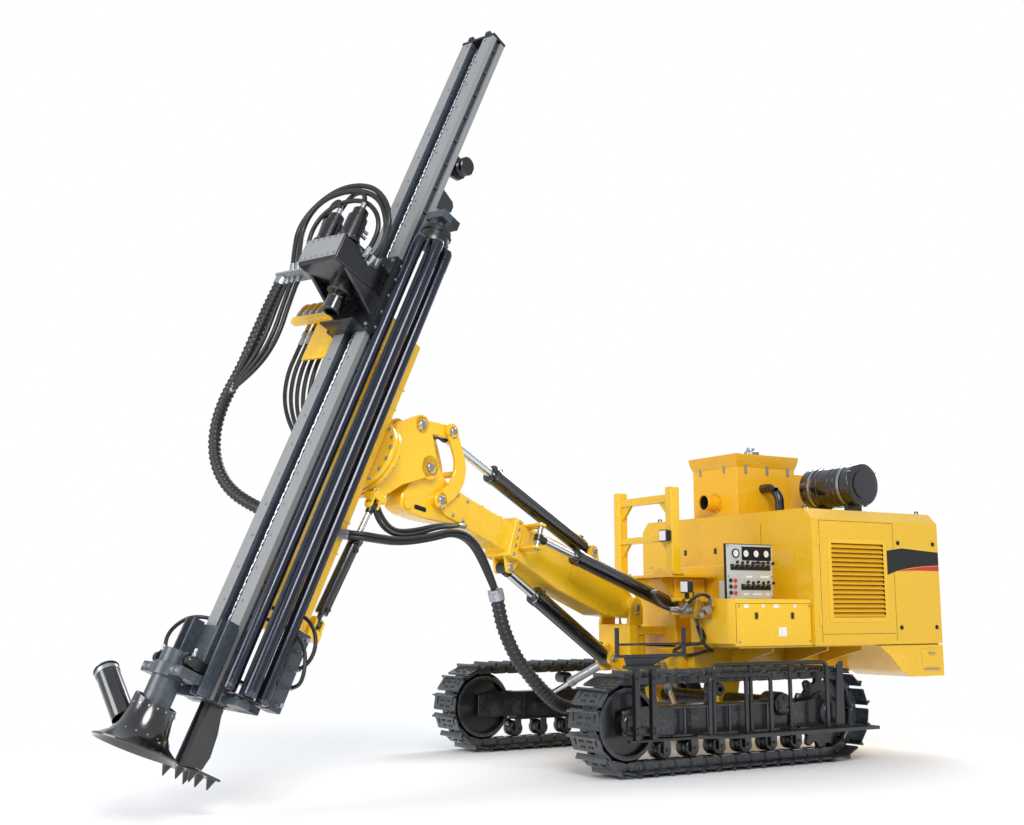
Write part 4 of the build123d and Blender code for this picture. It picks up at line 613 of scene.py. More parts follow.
def shoe(mesh):
    """One shoe with a single grouser, its bent lips and the two ribs that stiffen it."""
    box(mesh, (-60, 62), (-HALF_SHOE, HALF_SHOE), (0, 9), 2)
    plate(mesh, [(-63, 0), (-55, 9), (-50, 33), (-44, 34), (-38, 33), (-33, 9), (-26, 5), (-26, 0)],
        (-HALF_SHOE, HALF_SHOE), "side", 1)
    plate(mesh, [(50, 9), (50, 0), (60, -7), (66, -5), (58, 6)], (-HALF_SHOE + 3, HALF_SHOE - 3), "side", 0)
    for y in (-118, 118):
        box(mesh, (-36, 20), (y - 5, y + 5), (8, 15), 2)


def shoe_bolts(mesh):
    """Four bolts of a shoe."""
    for x in (-8, 32):
        for y in (-62, -34, 34, 62):
            bolt(mesh, (x, y, 9), (0, 0, 1), 8.5, washer=False)


def links(mesh):
    """A pair of links with their pin and bushing."""
    outline = [(-72, -48), (-60, -58), (40, -60), (62, -48), (70, -30), (62, -8), (40, -1), (-50, -1),
        (-66, -14)]
    for y in (-60, 28):
        plate(mesh, outline, (y, y + 32), "side", 3)
    bar(mesh, (66, -64, -31), (66, 64, -31), 15, sides=12)
    bar(mesh, (66, -30, -31), (66, 30, -31), 22, sides=14)


# %% Both tracks
LOOP = 2 * BASE + 2 * math.pi * (PLATE_R - 31)
SPOTS = [loop_spot(LOOP * (number + 0.5) / SHOES, PLATE_R) for number in range(SHOES)]
for side, name in ((1, "left"), (-1, "right")):
    kit = Kit(f"track_{name}", MACHINE, "chassis")
    shift = Matrix.Translation((0, side * TRACK_Y, 0))
    stamp(kit["iron"], shoe, [shift @ spot for spot in SPOTS])
    stamp(kit["iron"], shoe_bolts, [shift @ spot for spot in SPOTS])
    stamp(kit["iron"], links, [shift @ spot for spot in SPOTS])
    kit.done(f"track_{name}")

# %% [markdown]
# ## Track frames and wheels
# Between the two runs sits the track frame: a box with the idler's yoke in front, the drive sprocket and
# its hydraulic motor behind, six rollers below and one above. These are mostly in shade, but their bolts,
# flanges and hub covers are what makes the shade believable.

# %% Wheels
def idler(mesh, x, y):
    """The front wheel: two treads, a middle flange and a dished web."""
    profile = [(34, -72), (60, -76), (70, -40), (196, -34), (206, -72), (234, -70), (240, -60), (240, -24),
        (264, -14), (264, 14), (240, 24),
               (240, 60), (234, 70), (206, 72), (196, 34), (70, 40), (60, 76), (34, 72), (34, -72)]
    turned(mesh, profile, (x, y, WHEEL_Z), (0, 1, 0), 48)
    bar(mesh, (x, y - 74.5, WHEEL_Z), (x, y + 74.5, WHEEL_Z), 40)


def sprocket(mesh, x, y, side):
    """The rear wheel: thirteen teeth and the cover of its motor."""
    outline = []
    for tooth in range(13):
        for part, radius in ((-0.34, 228), (-0.17, 270), (-0.10, 275), (0.10, 275), (0.17, 270),
            (0.34, 228)):
            turn = math.tau * (tooth + part) / 13
            outline.append((x + radius * math.cos(turn), WHEEL_Z + radius * math.sin(turn)))
    plate(mesh, outline, (y - 19, y + 19), "side", 4)
    cover = [(0.1, 74), (70, 74), (82, 66), (120, 58), (132, 50), (150, 44), (150, -74), (0.1, -74)]
    turned(mesh, cover, (x, y, WHEEL_Z), (0, side, 0), 40)
    for number in range(10):
        turn = math.tau * number / 10
        bolt(mesh, (x + 138 * math.cos(turn), y + side * 45, WHEEL_Z + 138 * math.sin(turn)), (0, side, 0),
            9, False)


wheels = Kit("wheels", MACHINE, "chassis")
for side in (1, -1):
    idler(wheels["iron"], BASE / 2, side * TRACK_Y)
    sprocket(wheels["iron"], -BASE / 2, side * TRACK_Y, side)
wheels.done("idlers_sprockets")

rollers = Kit("rollers", MACHINE, "chassis")
for side in (1, -1):
    middle = side * TRACK_Y
    for number in range(6):
        x = -600 + 240 * number
        profile = [(24, -86), (50, -86), (56, -80), (60, -70), (60, -24), (48, -14), (48, 14), (60, 24),
            (60, 70), (56, 80), (50, 86), (24, 86)]
        turned(rollers["iron"], [(radius, height * 0.7) for radius, height in profile], (x, middle, 157.3),
            (0, 1, 0), 28)
        for reach in (-79, 79):
            box(rollers["iron"], (x - 28, x + 28), (middle + reach - 7, middle + reach + 7), (134, 235), 3)
            bolt(rollers["iron"], (x, middle + reach * 1.09, 160), (0, math.copysign(1, reach), 0), 12,
                False)
    box(rollers["iron"], (-620, 620), (middle - 86, middle + 86), (228, 236), 2)
    turned(rollers["iron"], [(18, -66), (40, -66), (45, -60), (45, 60), (40, 66), (18, 66)],
        (110, middle, 539.7), (0, 1, 0), 28)
    box(rollers["iron"], (80, 140), (middle - side * 82, middle - side * 38), (445, 457), 2)
    box(rollers["iron"], (86, 134), (middle - side * 82, middle - side * 66), (450, 560), 4)
rollers.done("track_rollers")


# %% Track frames
def track_frame(kit, side):
    """A welded frame with its yoke plates, ribs, bolts and the grease tensioner's cover."""
    steel = kit["iron"]
    inner, outer = 871.0, 999.0
    box(steel, (-612, 612), (inner, outer), (236, 445), 8, 3)
    for low in (TRACK_Y - 91, TRACK_Y + 75):
        plate(steel, [(542, 255), (542, 445), (800, 455), (970, 430), (970, 262)], (low, low + 16), "side",
            3, 20)
        plate(steel, [(-542, 430), (-542, 262), (-790, 240), (-980, 262), (-980, 420), (-790, 450)],
            (low, low + 16), "side", 3, 20)
    for x in (-612, 542):
        box(steel, (x, x + 70), (TRACK_Y - 76, TRACK_Y + 76), (262, 420), 4)
    for x in (-560, -330, -180, 20, 220, 420, 560):
        plate(steel, [(x, 250), (x + 12, 250), (x + 12, 430), (x, 430)], (outer - 1, outer + 10), "side", 2)
    box(steel, (-540, 540), (outer - 1, outer + 14), (425, 441), 3)
    box(steel, (-540, 540), (outer - 1, outer + 14), (240, 254), 3)
    for x in (-60, 110, 310, 500):
        plate(steel, [(x, 300), (x + 90, 300), (x + 90, 390), (x, 390)], (outer - 1, outer + 6), "side", 2,
            16)
        for dx, z in ((16, 316), (74, 316), (16, 374), (74, 374)):
            bolt(steel, (x + dx, outer + 6, z), (0, 1, 0), 6, False)
    turned(steel, [(0.1, 26), (52, 26), (66, 20), (74, 8), (74, -2), (0.1, -2)],
        (BASE / 2, TRACK_Y + 91, WHEEL_Z), (0, 1, 0), 32)
    for number in range(6):
        turn = math.tau * number / 6
        bolt(steel, (BASE / 2 + 56 * math.cos(turn), TRACK_Y + 112, WHEEL_Z + 56 * math.sin(turn)),
            (0, 1, 0), 7, False)
    turned(steel, [(0.1, 34), (70, 34), (86, 24), (96, 0), (0.1, 0)], (-BASE / 2, TRACK_Y + 91, WHEEL_Z),
        (0, 1, 0), 32)
    for number in range(8):
        turn = math.tau * number / 8
        bolt(steel, (-BASE / 2 + 76 * math.cos(turn), TRACK_Y + 118, WHEEL_Z + 76 * math.sin(turn)),
            (0, 1, 0), 7, False)
    tube(steel, (-450, inner - 2, 420), (-450, outer + 6, 420), 86, 55.5)
    turned(kit["black"], [(0.1, 44), (62, 44), (78, 36), (82, 12), (82, 4), (0.1, 4)],
        (-450, outer + 2, 420), (0, 1, 0), 36)
    for turn in (90, 210, 330):
        a = math.radians(turn)
        bolt(kit["black"], (-450 + 44 * math.cos(a), outer + 46, 420 + 44 * math.sin(a)), (0, 1, 0), 9,
            False)


for side, name in ((1, "left"), (-1, "right")):
    kit = Kit(f"track_frame_{name}", MACHINE, "chassis")
    track_frame(kit, side)
    if side < 0:
        for mesh in kit.meshes.values():
            bmesh.ops.scale(mesh, verts=mesh.verts[:], vec=(1, -1, 1))
            bmesh.ops.reverse_faces(mesh, faces=mesh.faces[:])
    kit.done(f"track_frame_{name}")


# %% [markdown]
# ## Chassis
# Two long beams carry the engine and everything on it. In front they meet a heavy column whose two lugs
# hold the swinging post. The underside is seen from the photograph's low camera, so its gussets and hangers
# are drawn too.

# %% Chassis frame
chassis = Kit("chassis", MACHINE, "chassis")
body = chassis["yellow"]
box(body, (-2180, -120), (-450, 450), (805, 825), 3)
for side in (1, -1):
    beam = sorted((side * 300, side * 450))
    box(body, (-2150, -120), beam, (600, 816), 10, 3)
    box(body, (-2180, -95), sorted((side * 449, side * 985)), (815, 825), 2)
    plate(body, [(-580, 601), (-320, 601), (-370, 360), (-530, 360)], beam, "side", 4, 30)
    for x in (-1420, -1050, -500):
        plate(body, [(side * 449, 816), (side * 905, 816), (side * 905, 785), (side * 449, 665)],
            (x, x + 16), "front", 2)
    plate(body, [(-118, 805), (-118, 620), (-60, 700), (60, 790), (150, 806)],
        sorted((side * 330, side * 350)), "side", 3)
box(body, (-420, -120), (-250, 250), (555, 1330), 10, 3)
box(body, (-420, 20), (-380, 380), (1329, 1350), 4)
for side in (1, -1):
    plate(body, [(-119, 1328), (16, 1328), (-119, 1180)], sorted((side * 220, side * 236)), "side", 3)
for low, high in ((555, 615), (900, 960)):
    lug(body, (100, 0), 120, (low, high), ((-121, -120), (-121, 120)), "level", 6)
    turned(chassis["steel"], [(46, high + 1), (70, high + 1), (74, high + 4), (74, high + 8),
        (46, high + 8)], (100, 0, 0), (0, 0, 1), 32)
bar(chassis["iron"], (-450, -1011, 420), (-450, 1011, 420), 55, sides=32)
chassis.done("chassis_frame")

swing_plates = Kit("swing_bracket", MACHINE, "chassis")
box(swing_plates["yellow"], (-180, -150), (250, 420), (1069, 1151), 3)
for z in (1048, 1150):
    plate(swing_plates["yellow"], [(-180, 250), (-180, 420), (-80, 420), (-30, 396), (-4, 390), (12, 372),
        (12, 348), (-4, 330), (-50, 264), (-110, 250)],
          (z, z + 22), "level", 3)
swing_plates.done("swing_bracket")

# %% Tilt cylinders between the chassis and the track frames
tilt = Kit("tilt_cylinders", MACHINE, "chassis")
for side in (1, -1):
    low, high = Vector((360, side * 827, 400)), Vector((90, side * 330, 700))
    way = (high - low).normalized()
    bar(tilt["chrome"], low, low + way * 300, 20)
    bar(tilt["steel"], low + way * 250, high, 34, soft=3)
    bar(tilt["steel"], low + way * 245, low + way * 290, 40)
    bar(tilt["black"], low - Vector((50, 0, 0)), low + Vector((50, 0, 0)), 36)
    box(tilt["black"], (320, 400), sorted((side * 871, side * 801)), (345, 425), 6)
    box(tilt["yellow"], (-119, 130), sorted((side * 251, side * 380)), (650, 745), 10)
tilt.done("tilt_cylinders")

# %% [markdown]
# ## Housing
# The housing over the engine is folded sheet: a roof with slanting shoulders, two sides and two end walls.
# The light shows it as large calm faces, so what matters is the softness of the folds, the thin dark seams
# between doors, the frame of slats that lets the cooling air in, and a few hinges and latches.

# %% Housing
FRONT, REAR, HALF = -800.0, -2180.0, 1025.0


def seam(mesh, x, z, y=HALF):
    """A dark line between two panels on a side wall."""
    box(mesh, x, (y - 0.5, y + 0.6), z, 0)


hood = Kit("hood_top", MACHINE, "chassis")
sheet = hood["yellow"]
outline = [(1025, 1763), (950, 1842), (-950, 1842), (-1025, 1763), (-1020, 1763), (-948, 1837), (948, 1837),
    (1020, 1763)]
plate(sheet, outline, (REAR, FRONT), "front", 2, 0)
for x in (-1180, -1620):
    box(sheet, (x - 260, x + 140), (430, 880) if x < -1500 else (-880, -460), (1841, 1846), 2)
for x, y in ((-2120, 880), (-2120, -880), (-880, 880), (-880, -880)):
    box(hood["black"], (x - 22, x + 22), (y - 12, y + 12), (1841, 1850), 3)
    bar(hood["black"], (x - 16, y, 1850), (x - 16, y, 1868), 5, sides=10)
    bar(hood["black"], (x + 16, y, 1850), (x + 16, y, 1868), 5, sides=10)
    bar(hood["black"], (x - 20, y, 1868), (x + 20, y, 1868), 5, sides=10)
hood.done("hood_top")

for name, x, out in (("hood_front", (-805, -800), 1), ("hood_rear", (-2180, -2175), -1)):
    wall = Kit(name, MACHINE, "chassis")
    plate(wall["yellow"], [(-1020, 825), (1020, 825), (1020, 1763), (947, 1837), (-947, 1837),
        (-1020, 1763)], x, "front", 1)
    face = x[1] if out > 0 else x[0]
    for y in (-520, 480):
        box(wall["dark"], sorted((face - 0.4, face + out * 0.6)), (y - 1.5, y + 1.5), (845, 1750), 0)
    for y in (-440, -60, 400):
        for z in (1000, 1560):
            box(wall["black"], sorted((face, face + out * 7)), (y - 14, y + 14), (z - 22, z + 22), 3)
    wall.done(name)

for side, name in ((1, "left"), (-1, "right")):
    wall = Kit(f"hood_{name}", MACHINE, "chassis")
    sheet = wall["yellow"]
    for x, z in (((REAR, -1585), (825, 1763)), ((-958, FRONT), (825, 1763)), ((-1585, -958), (825, 992)),
        ((-1585, -958), (1619, 1763))):
        box(sheet, x, (1020, 1025), z, 0)
    box(sheet, (-2175, -805), (985, 1020), (825, 855), 2)
    seam(wall["dark"], (-1668, -1665), (850, 1750))
    seam(wall["dark"], (-878, -875), (850, 1750))
    seam(wall["dark"], (-1668, -875), (1748, 1751))
    seam(wall["dark"], (-1668, -875), (905, 908))
    for x in (-1720, -2120):
        for z in (950, 1600):
            bar(wall["black"], (x, 1024, z), (x, 1031, z), 17, sides=20)
            box(wall["black"], (x - 4, x + 4), (1029, 1036), (z - 13, z + 13), 1.5)
    for z in (1010, 1600):
        box(sheet, (-872, -846), (1024, 1030), (z - 40, z + 40), 2)
        bar(sheet, (-859, 1031, z - 42), (-859, 1031, z + 42), 7, sides=12)
    if side < 0:
        for mesh in wall.meshes.values():
            bmesh.ops.scale(mesh, verts=mesh.verts[:], vec=(1, -1, 1))
            bmesh.ops.reverse_faces(mesh, faces=mesh.faces[:])
    wall.done(f"hood_{name}")

# %% Louvres
louvres = Kit("louvres", MACHINE, "chassis")
for number in range(16):
    z = 1030 + 34.3 * (number + 0.5)
    slat = [(1004, z + 15), (1008, z + 17), (1030, z - 9), (1031, z - 14), (1026, z - 13), (1022, z - 8)]
    plate(louvres["orange"], slat, (-1549, -994), "front", 0.5)
for x, z in (((-1585, -1549), (992, 1619)), ((-994, -958), (992, 1619)), ((-1549, -994), (992, 1029)),
    ((-1549, -994), (1582, 1619))):
    box(louvres["yellow"], x, (1018, 1029), z, 1)
# Painted shade: a dark sheet behind the slats stands for the shade inside the louvres.
box(louvres["dark"], (-1560, -980), (990, 996), (1010, 1600), 0)
louvres.mirrored()
louvres.done("louvre_panels")

# %% Stripe on the side: a plain black band over a red sweep
stripe = Kit("side_stripe", MACHINE, "chassis")
band = [(-1592, 1538), (-1760, 1560), (-2178, 1536), (-2178, 1434), (-2000, 1424), (-1840, 1408),
    (-1700, 1384), (-1592, 1352)]
plate(stripe["plastic"], band, (1024.5, 1025.8), "side", 0)
sweep = [(-1700, 1380), (-1840, 1404), (-2000, 1420), (-2178, 1430), (-2178, 1388), (-2000, 1390),
    (-1840, 1388)]
plate(stripe["red"], sweep, (1024.5, 1025.8), "side", 0)
stripe.mirrored()
stripe.done()

# %% Engine block and the low boxes at the rear
engine = Kit("engine", MACHINE, "chassis")
box(engine["black"], (-1800, -1050), (-330, 330), (825, 1520), 20, 3)
for number in range(6):
    x = -1760 + 122 * number
    box(engine["black"], (x, x + 84), (329, 352), (1150, 1480), 8)
    box(engine["black"], (x, x + 84), (-352, -329), (1150, 1480), 8)
engine.done("engine_block")

boxes = Kit("rear_boxes", MACHINE, "chassis")
outer = [(-2180, 575), (-2180, 815), (-1470, 815), (-1585, 735), (-1700, 628), (-1810, 575)]
for side in (1, -1):
    plate(boxes["yellow"], outer, sorted((side * 450, side * 1021)), "side", 5)
    skin = boxes["yellow"]
    if side > 0:
        plate(skin, [(-1935, 575), (-1935, 815), (-1470, 815), (-1585, 735), (-1700, 628), (-1810, 575)],
            (1020, 1025), "side", 0.5)
        for x, z in (((-2180, -2140), (575, 815)), ((-2140, -1935), (790, 815)),
            ((-2140, -1935), (575, 625))):
            box(skin, x, (1020, 1025), z, 0.5)
    else:
        plate(skin, outer, (-1025, -1020), "side", 1)
boxes.done("rear_boxes")

door = Kit("box_door", MACHINE, "door")
box(door["yellow"], (-2139, -1936), (1019, 1027), (626, 789), 2)
bar(door["steel"], (-2120, 1032, 631.5), (-1955, 1032, 631.5), 6, sides=14, soft=0.5)
for x in (-2063, -2012):
    bar(door["steel"], (x, 1026, 751), (x, 1042, 751), 5, sides=12)
bar(door["steel"], (-2068, 1042, 751), (-2007, 1042, 751), 5, sides=12)
door.done("box_door")

# %% [markdown]
# ## Console
# The operator drives and drills from a cabinet beside the housing. The cabinet is yellow; the upright panel
# on it is bright metal with gauges above and two rows of levers below. Its labels are left blank, as plain
# plates.

# %% Console cabinet and panel
console = Kit("console", MACHINE, "chassis")
cabinet = console["yellow"]
box(cabinet, (-800, -55), (560, 1000), (825, 1163), 9, 3)
plate(cabinet, [(-56, 560), (-56, 1000), (-10, 940), (-10, 560)], (845, 1163), "level", 3)
box(console["dark"], (-790, -62), (999.6, 1000.6), (1128, 1131), 0)
box(console["dark"], (-62, -59), (999.6, 1000.6), (850, 1129), 0)
box(console["dark"], (-790, -787), (999.6, 1000.6), (850, 1129), 0)
for x, z, wide, tall in ((-180, 1098, 46, 26), (-470, 1098, 50, 26), (-540, 895, 78, 66),
    (-640, 1100, 24, 24), (-330, 1100, 24, 24)):
    box(console["white"], (x, x + wide), (1000, 1002), (z, z + tall), 0.8)
for x in (-770, -90):
    for z in (858, 1112):
        bar(console["steel"], (x, 1000, z), (x, 1004, z), 8, sides=16, soft=1)
for x in (-600, -250):
    box(console["black"], (x - 13, x + 13), (1000, 1008), (1020, 1066), 3)
console.done("console")

panel = Kit("control_panel", MACHINE, "chassis")
box(panel["silver"], (-676, -224), (702, 730), (1166, 1566), 4)
box(panel["silver"], (-680, -220), (640, 701), (1163, 1300), 5)
box(panel["plastic"], (-680, -220), (700, 724), (1163, 1572), 3)
box(panel["dark"], (-662, -372), (729, 732), (1448, 1552), 2)
for number in range(4):
    x = -610 + 100 * number
    turned(panel["plastic"], [(0.1, 4), (26, 4), (28, 10), (33, 10), (34, 6), (34, 0), (0.1, 0)],
        (x, 730, 1500), (0, 1, 0), 28)
    turned(panel["white"], [(0.1, 5), (25, 5), (25, 4), (0.1, 4)], (x, 730, 1500), (0, 1, 0), 24)
    box(panel["red"], (x - 1, x + 14), (735, 736), (1499, 1502), 0)
    box(panel["dark"], (-652 + 46 * number, -622 + 46 * number), (729, 731.5), (1424, 1440), 0.5)
for z, count, wide in ((1400, 8, 392), (1255, 6, 292)):
    box(panel["plastic"], (-650, -650 + wide), (729, 734), (z - 24, z + 20), 2)
    for number in range(count):
        x = -630 + 50 * number
        turned(panel["plastic"], [(0.1, 18), (5, 18), (9, 12), (15, 7), (16, 0), (0.1, 0)], (x, 733, z),
            (0, 1, 0.3), 16)
        bar(panel["chrome"], (x, 744, z + 3), (x, 778, z + 24 + 5 * (number % 2)), 4, sides=10)
        turned(panel["plastic"], [(0.1, 0), (7, 1), (11, 9), (12, 17), (8, 25), (0.1, 27)],
            (x, 772, z + 22 + 5 * (number % 2)), (0, 1, 0.5), 14)
for z in (1210, 1255, 1300):
    turned(panel["red"], [(0.1, 12), (11, 12), (15, 8), (15, 0), (0.1, 0)], (-300, 730, z), (0, 1, 0), 18)
    turned(panel["plastic"], [(0.1, 12), (11, 12), (15, 8), (15, 0), (0.1, 0)], (-255, 730, z), (0, 1, 0),
        18)
for x in (-664, -236):
    for z in (1180, 1330, 1554):
        bolt(panel["steel"], (x, 730, z), (0, 1, 0), 5)
for x, z, wide in ((-640, 1200, 44), (-560, 1200, 90), (-430, 1200, 50), (-640, 1328, 90),
    (-470, 1328, 60)):
    box(panel["white"], (x, x + wide), (730, 731.2), (z - 8, z + 8), 0.4)
panel.done("control_panel")

# %% Tank, valve block and lamps
tank = Kit("hydraulic_tank", MACHINE, "chassis")
box(tank["yellow"], (-790, -430), (-520, 550), (825, 1425), 14, 3)
turned(tank["black"], [(0.1, 40), (36, 40), (44, 32), (46, 6), (58, 4), (58, 0), (0.1, 0)],
    (-600, 420, 1425), (0, 0, 1), 28)
box(tank["black"], (-560, -470), (548, 556), (1200, 1340), 3)
for y in (-460, 500):
    for x in (-770, -450):
        bolt(tank["steel"], (x, y, 1425), (0, 0, 1), 9)
tank.done("hydraulic_tank")


def fitting(mesh, at, out, size, length=60.0):
    """A hydraulic fitting: a hexagon nut, a collar and a ferrule."""
    at, out = Vector(at), Vector(out).normalized()
    bar(mesh, at, at + out * length * 0.35, size, sides=6, soft=1)
    bar(mesh, at + out * length * 0.35, at + out * length * 0.6, size * 0.78, sides=16, soft=1)
    bar(mesh, at + out * length * 0.55, at + out * length, size * 0.9, sides=16, soft=2)


valves = Kit("valve_block", MACHINE, "chassis")
box(valves["brass"], (-10, 150), (620, 800), (1030, 1140), 8)
for number in range(5):
    box(valves["brass"], (-6 + 31 * number, 19 + 31 * number), (612, 806), (1024, 1146), 4)
fitting(valves["steel"], (150, 660, 1085), (1, 0, 0), 26, 66)
fitting(valves["steel"], (150, 750, 1085), (1, 0, 0), 30, 52)
fitting(valves["brass"], (60, 710, 1140), (0, 0, 1), 30, 76)
fitting(valves["steel"], (60, 799, 1085), (0, 1, 0), 34, 52)
fitting(valves["brass"], (20, 799, 1110), (0, 1, 0.3), 20, 48)
fitting(valves["steel"], (115, 799, 1060), (0, 1, -0.3), 20, 44)
turned(valves["brass"], [(0.1, 26), (40, 26), (52, 16), (54, 0), (0.1, 0)], (104, 690, 1146), (0, 0, 1), 24)
valves.done("valve_block")

lamps = Kit("lamps", MACHINE, "chassis")


def lamp(x, y, z):
    """A square work lamp in its shell, on a swivel foot."""
    shell = [(0, 38), (30, 42), (50, 45), (50, -45), (30, -42), (0, -38)]
    plate(lamps["plastic"], [(x + a, z + b) for a, b in shell], (y - 45, y + 45), "side", 5)
    box(lamps["silver"], (x + 49, x + 51), (y - 39, y + 39), (z - 39, z + 39), 1)
    box(lamps["lens"], (x + 50, x + 53), (y - 35, y + 35), (z - 35, z + 35), 4)
    for step in range(-2, 3):
        box(lamps["plastic"], (x - 8, x + 2), (y + step * 15 - 3, y + step * 15 + 3), (z - 32, z + 32), 1)


lamp(5, 330, 1640)
lamp(110, 700, 1250)
box(lamps["plastic"], (-5, 6), (315, 345), (1620, 1660), 2)
box(lamps["plastic"], (120, 148), (688, 712), (1140, 1206), 3)
lamps.done("lamps")

# %% [markdown]
# ## Rest frame, dust box and filter
# Above the column stands the frame in which the mast lies for the road. Behind it, on the roof, are the box
# of the dust collector with its open stub, and the black drum of the intake filter with the ribs rolled
# into it.

# %% Rest frame
rest = Kit("rest_frame", MACHINE, "chassis")
for y in ((-370, -290), (290, 370)):
    box(rest["yellow"], (-85, -5), y, (1350, 2015), 9, 3)
for z in ((1900, 1960), (1600, 1650)):
    box(rest["yellow"], (-75, -15), (-291, 291), z, 8)
for side in (1, -1):
    plate(rest["yellow"], [(side * 291, 1901), (side * 291, 1790), (side * 180, 1901)], (-60, -30), "front",
        2)
    plate(rest["yellow"], [(side * 291, 1601), (side * 291, 1500), (side * 200, 1601)], (-60, -30), "front",
        2)
    box(rest["yellow"], (-100, 10), sorted((side * 265, side * 395)), (1350, 1364), 3)
    for x in (-90, 0):
        for y in (282, 378):
            bolt(rest["steel"], (x, side * y, 1364), (0, 0, 1), 8)
rest.done("rest_frame")

# %% Dust collector
dust = Kit("dust_collector", MACHINE, "chassis")
shell = dust["orange"]
box(shell, (-1530, -890), (-430, 120), (1842, 2246), 5, 3)
box(shell, (-1660, -1529), (-400, 100), (1842, 2215), 5, 3)
levels = [(2245, 320, 275), (2290, 338, 290), (2335, 345, 300), (2349, 345, 300)]
rings = [[shell.verts.new((-1210 + a * x, -155 + c * y, z)) for a,
    c in ((1, 1), (-1, 1), (-1, -1), (1, -1))] for z, x, y in levels]
faces = [shell.faces.new([low[k - 1], low[k], high[k], high[k - 1]]) for low,
    high in zip(rings, rings[1:]) for k in range(4)]
faces += [shell.faces.new(rings[0][::-1]), shell.faces.new(rings[-1])]
soften(shell, {edge for face in faces for edge in face.edges if edge.calc_face_angle(0) > 1.0}, 4)
for x in (-1450, -1220, -985):
    for y, out in ((121, 1), (-431, -1)):
        box(dust["steel"], (x - 12, x + 12), sorted((y - out, y + out * 9)), (2190, 2262), 2)
    box(shell, (x - 5, x + 5), (119, 124), (1850, 2180), 1)
for y in (-330, -30):
    box(dust["steel"], (-891, -884), (y - 12, y + 12), (2200, 2262), 2)
tube(shell, (-889, -150, 1960), (-760, -150, 1960), 66, 60, 36, 2)
turned(shell, [(66, 0), (84, 0), (84, 8), (66, 8), (66, 0)], (-890, -150, 1960), (1, 0, 0), 36)
# Painted shade: a dark liner inside the open stub stands for the shade in its mouth.
tube(dust["dark"], (-889, -150, 1960), (-775, -150, 1960), 60, 55, 32, 0.5)
for number in range(8):
    a = math.tau * number / 8
    bolt(dust["steel"], (-882, -150 + 76 * math.cos(a), 1960 + 76 * math.sin(a)), (1, 0, 0), 5, False)
fan = [(0.1, 95), (22, 95), (32, 88), (34, 74), (34, 64), (46, 60), (54, 54), (55, 6), (64, 4), (64, 0),
    (0.1, 0)]
turned(dust["steel"], fan, (-1240, -90, 2349), (0, 0, 1), 30)
fitting(dust["steel"], (-1240, -36, 2385), (0, 1, 0), 15, 40)
fitting(dust["steel"], (-1190, -110, 2380), (1, 0, 0), 15, 40)
dust.done("dust_collector")

# %% Exhaust elbow and air filter
exhaust = Kit("exhaust_elbow", MACHINE, "chassis")
rail(exhaust["black"], [(-1180, 300, 1842), (-1180, 300, 2000), (-1165, 235, 2070), (-1165, 122, 2070)],
    38.0)
tube(exhaust["black"], (-1180, 300, 1842), (-1180, 300, 1856), 62, 38, 32, 2)
for number in range(4):
    a = math.tau * (number + 0.5) / 4
    bolt(exhaust["steel"], (-1180 + 50 * math.cos(a), 300 + 50 * math.sin(a), 1856), (0, 0, 1), 6, False)
exhaust.done("exhaust_elbow")

intake = Kit("air_filter", MACHINE, "chassis")
profile = [(0.1, 0), (120, 0), (128, 6), (134, 14), (160, 16), (167, 22), (168, 60)]
for height in (90, 150, 210, 330, 390, 450):
    profile += [(168, height - 12), (163, height - 6), (163, height + 6), (168, height + 12)]
profile += [(168, 520), (172, 524), (172, 540), (168, 544), (166, 556), (158, 560), (120, 562), (118, 574),
    (40, 576), (0.1, 576)]
turned(intake["gloss"], profile, (-1550, 300, 2065), (0, 1, 0), 56)
for y in (420, 740):
    turned(intake["steel"], [(169, -14), (171.5, -14), (171.5, 14), (169, 14), (169, -14)],
        (-1550, y, 2065), (0, 1, 0), 56)
    box(intake["black"], (-1630, -1470), (y - 20, y + 20), (1842, 1925), 4)
    bar(intake["steel"], (-1384, y, 2040), (-1384, y, 2090), 7, sides=12)
for turn in (35, 145, 260):
    a = math.radians(turn)
    at = Vector((-1550 + 172 * math.cos(a), 826, 2065 + 172 * math.sin(a)))
    bar(intake["steel"], at, at + Vector((0, 34, 0)), 6, sides=10)
intake.done("air_filter")

# %% [markdown]
# ## Step, railings and cradle
# Beside the near track runs a step of expanded metal with tube railings, and in front of it stands a black
# U-shaped cradle. All of it is black, so only the highlights on round tubes and thin edges draw it.

# %% Cradle
cradle = Kit("cradle", MACHINE, "chassis")
steel = cradle["black"]
box(steel, (445, 1000), (1121.5, 1151.5), (234, 250), 3)
for x in ((783, 823), (920, 960)):
    box(steel, x, (1121.5, 1161.5), (249, 700), 5)
box(steel, (750, 990), (1061.5, 1161.5), (699, 725), 5)
plate(steel, [(760, 724), (980, 724), (1000, 776), (620, 776)], (1085.5, 1105.5), "side", 3)
box(steel, (487, 1065), (1075.5, 1115.5), (775, 795), 4)
for x in (487, 1045):
    box(steel, (x, x + 20), (1080.5, 1110.5), (794, 968), 4)
box(steel, (506, 1046), (1085.5, 1105.5), (852, 868), 3)
box(steel, (783, 900), (1032, 1122.5), (285, 325), 4)
for x in (803, 940):
    for z in (290, 320, 640):
        bolt(steel, (x, 1161.5, z), (0, 1, 0), 9)
cradle.done("cradle")

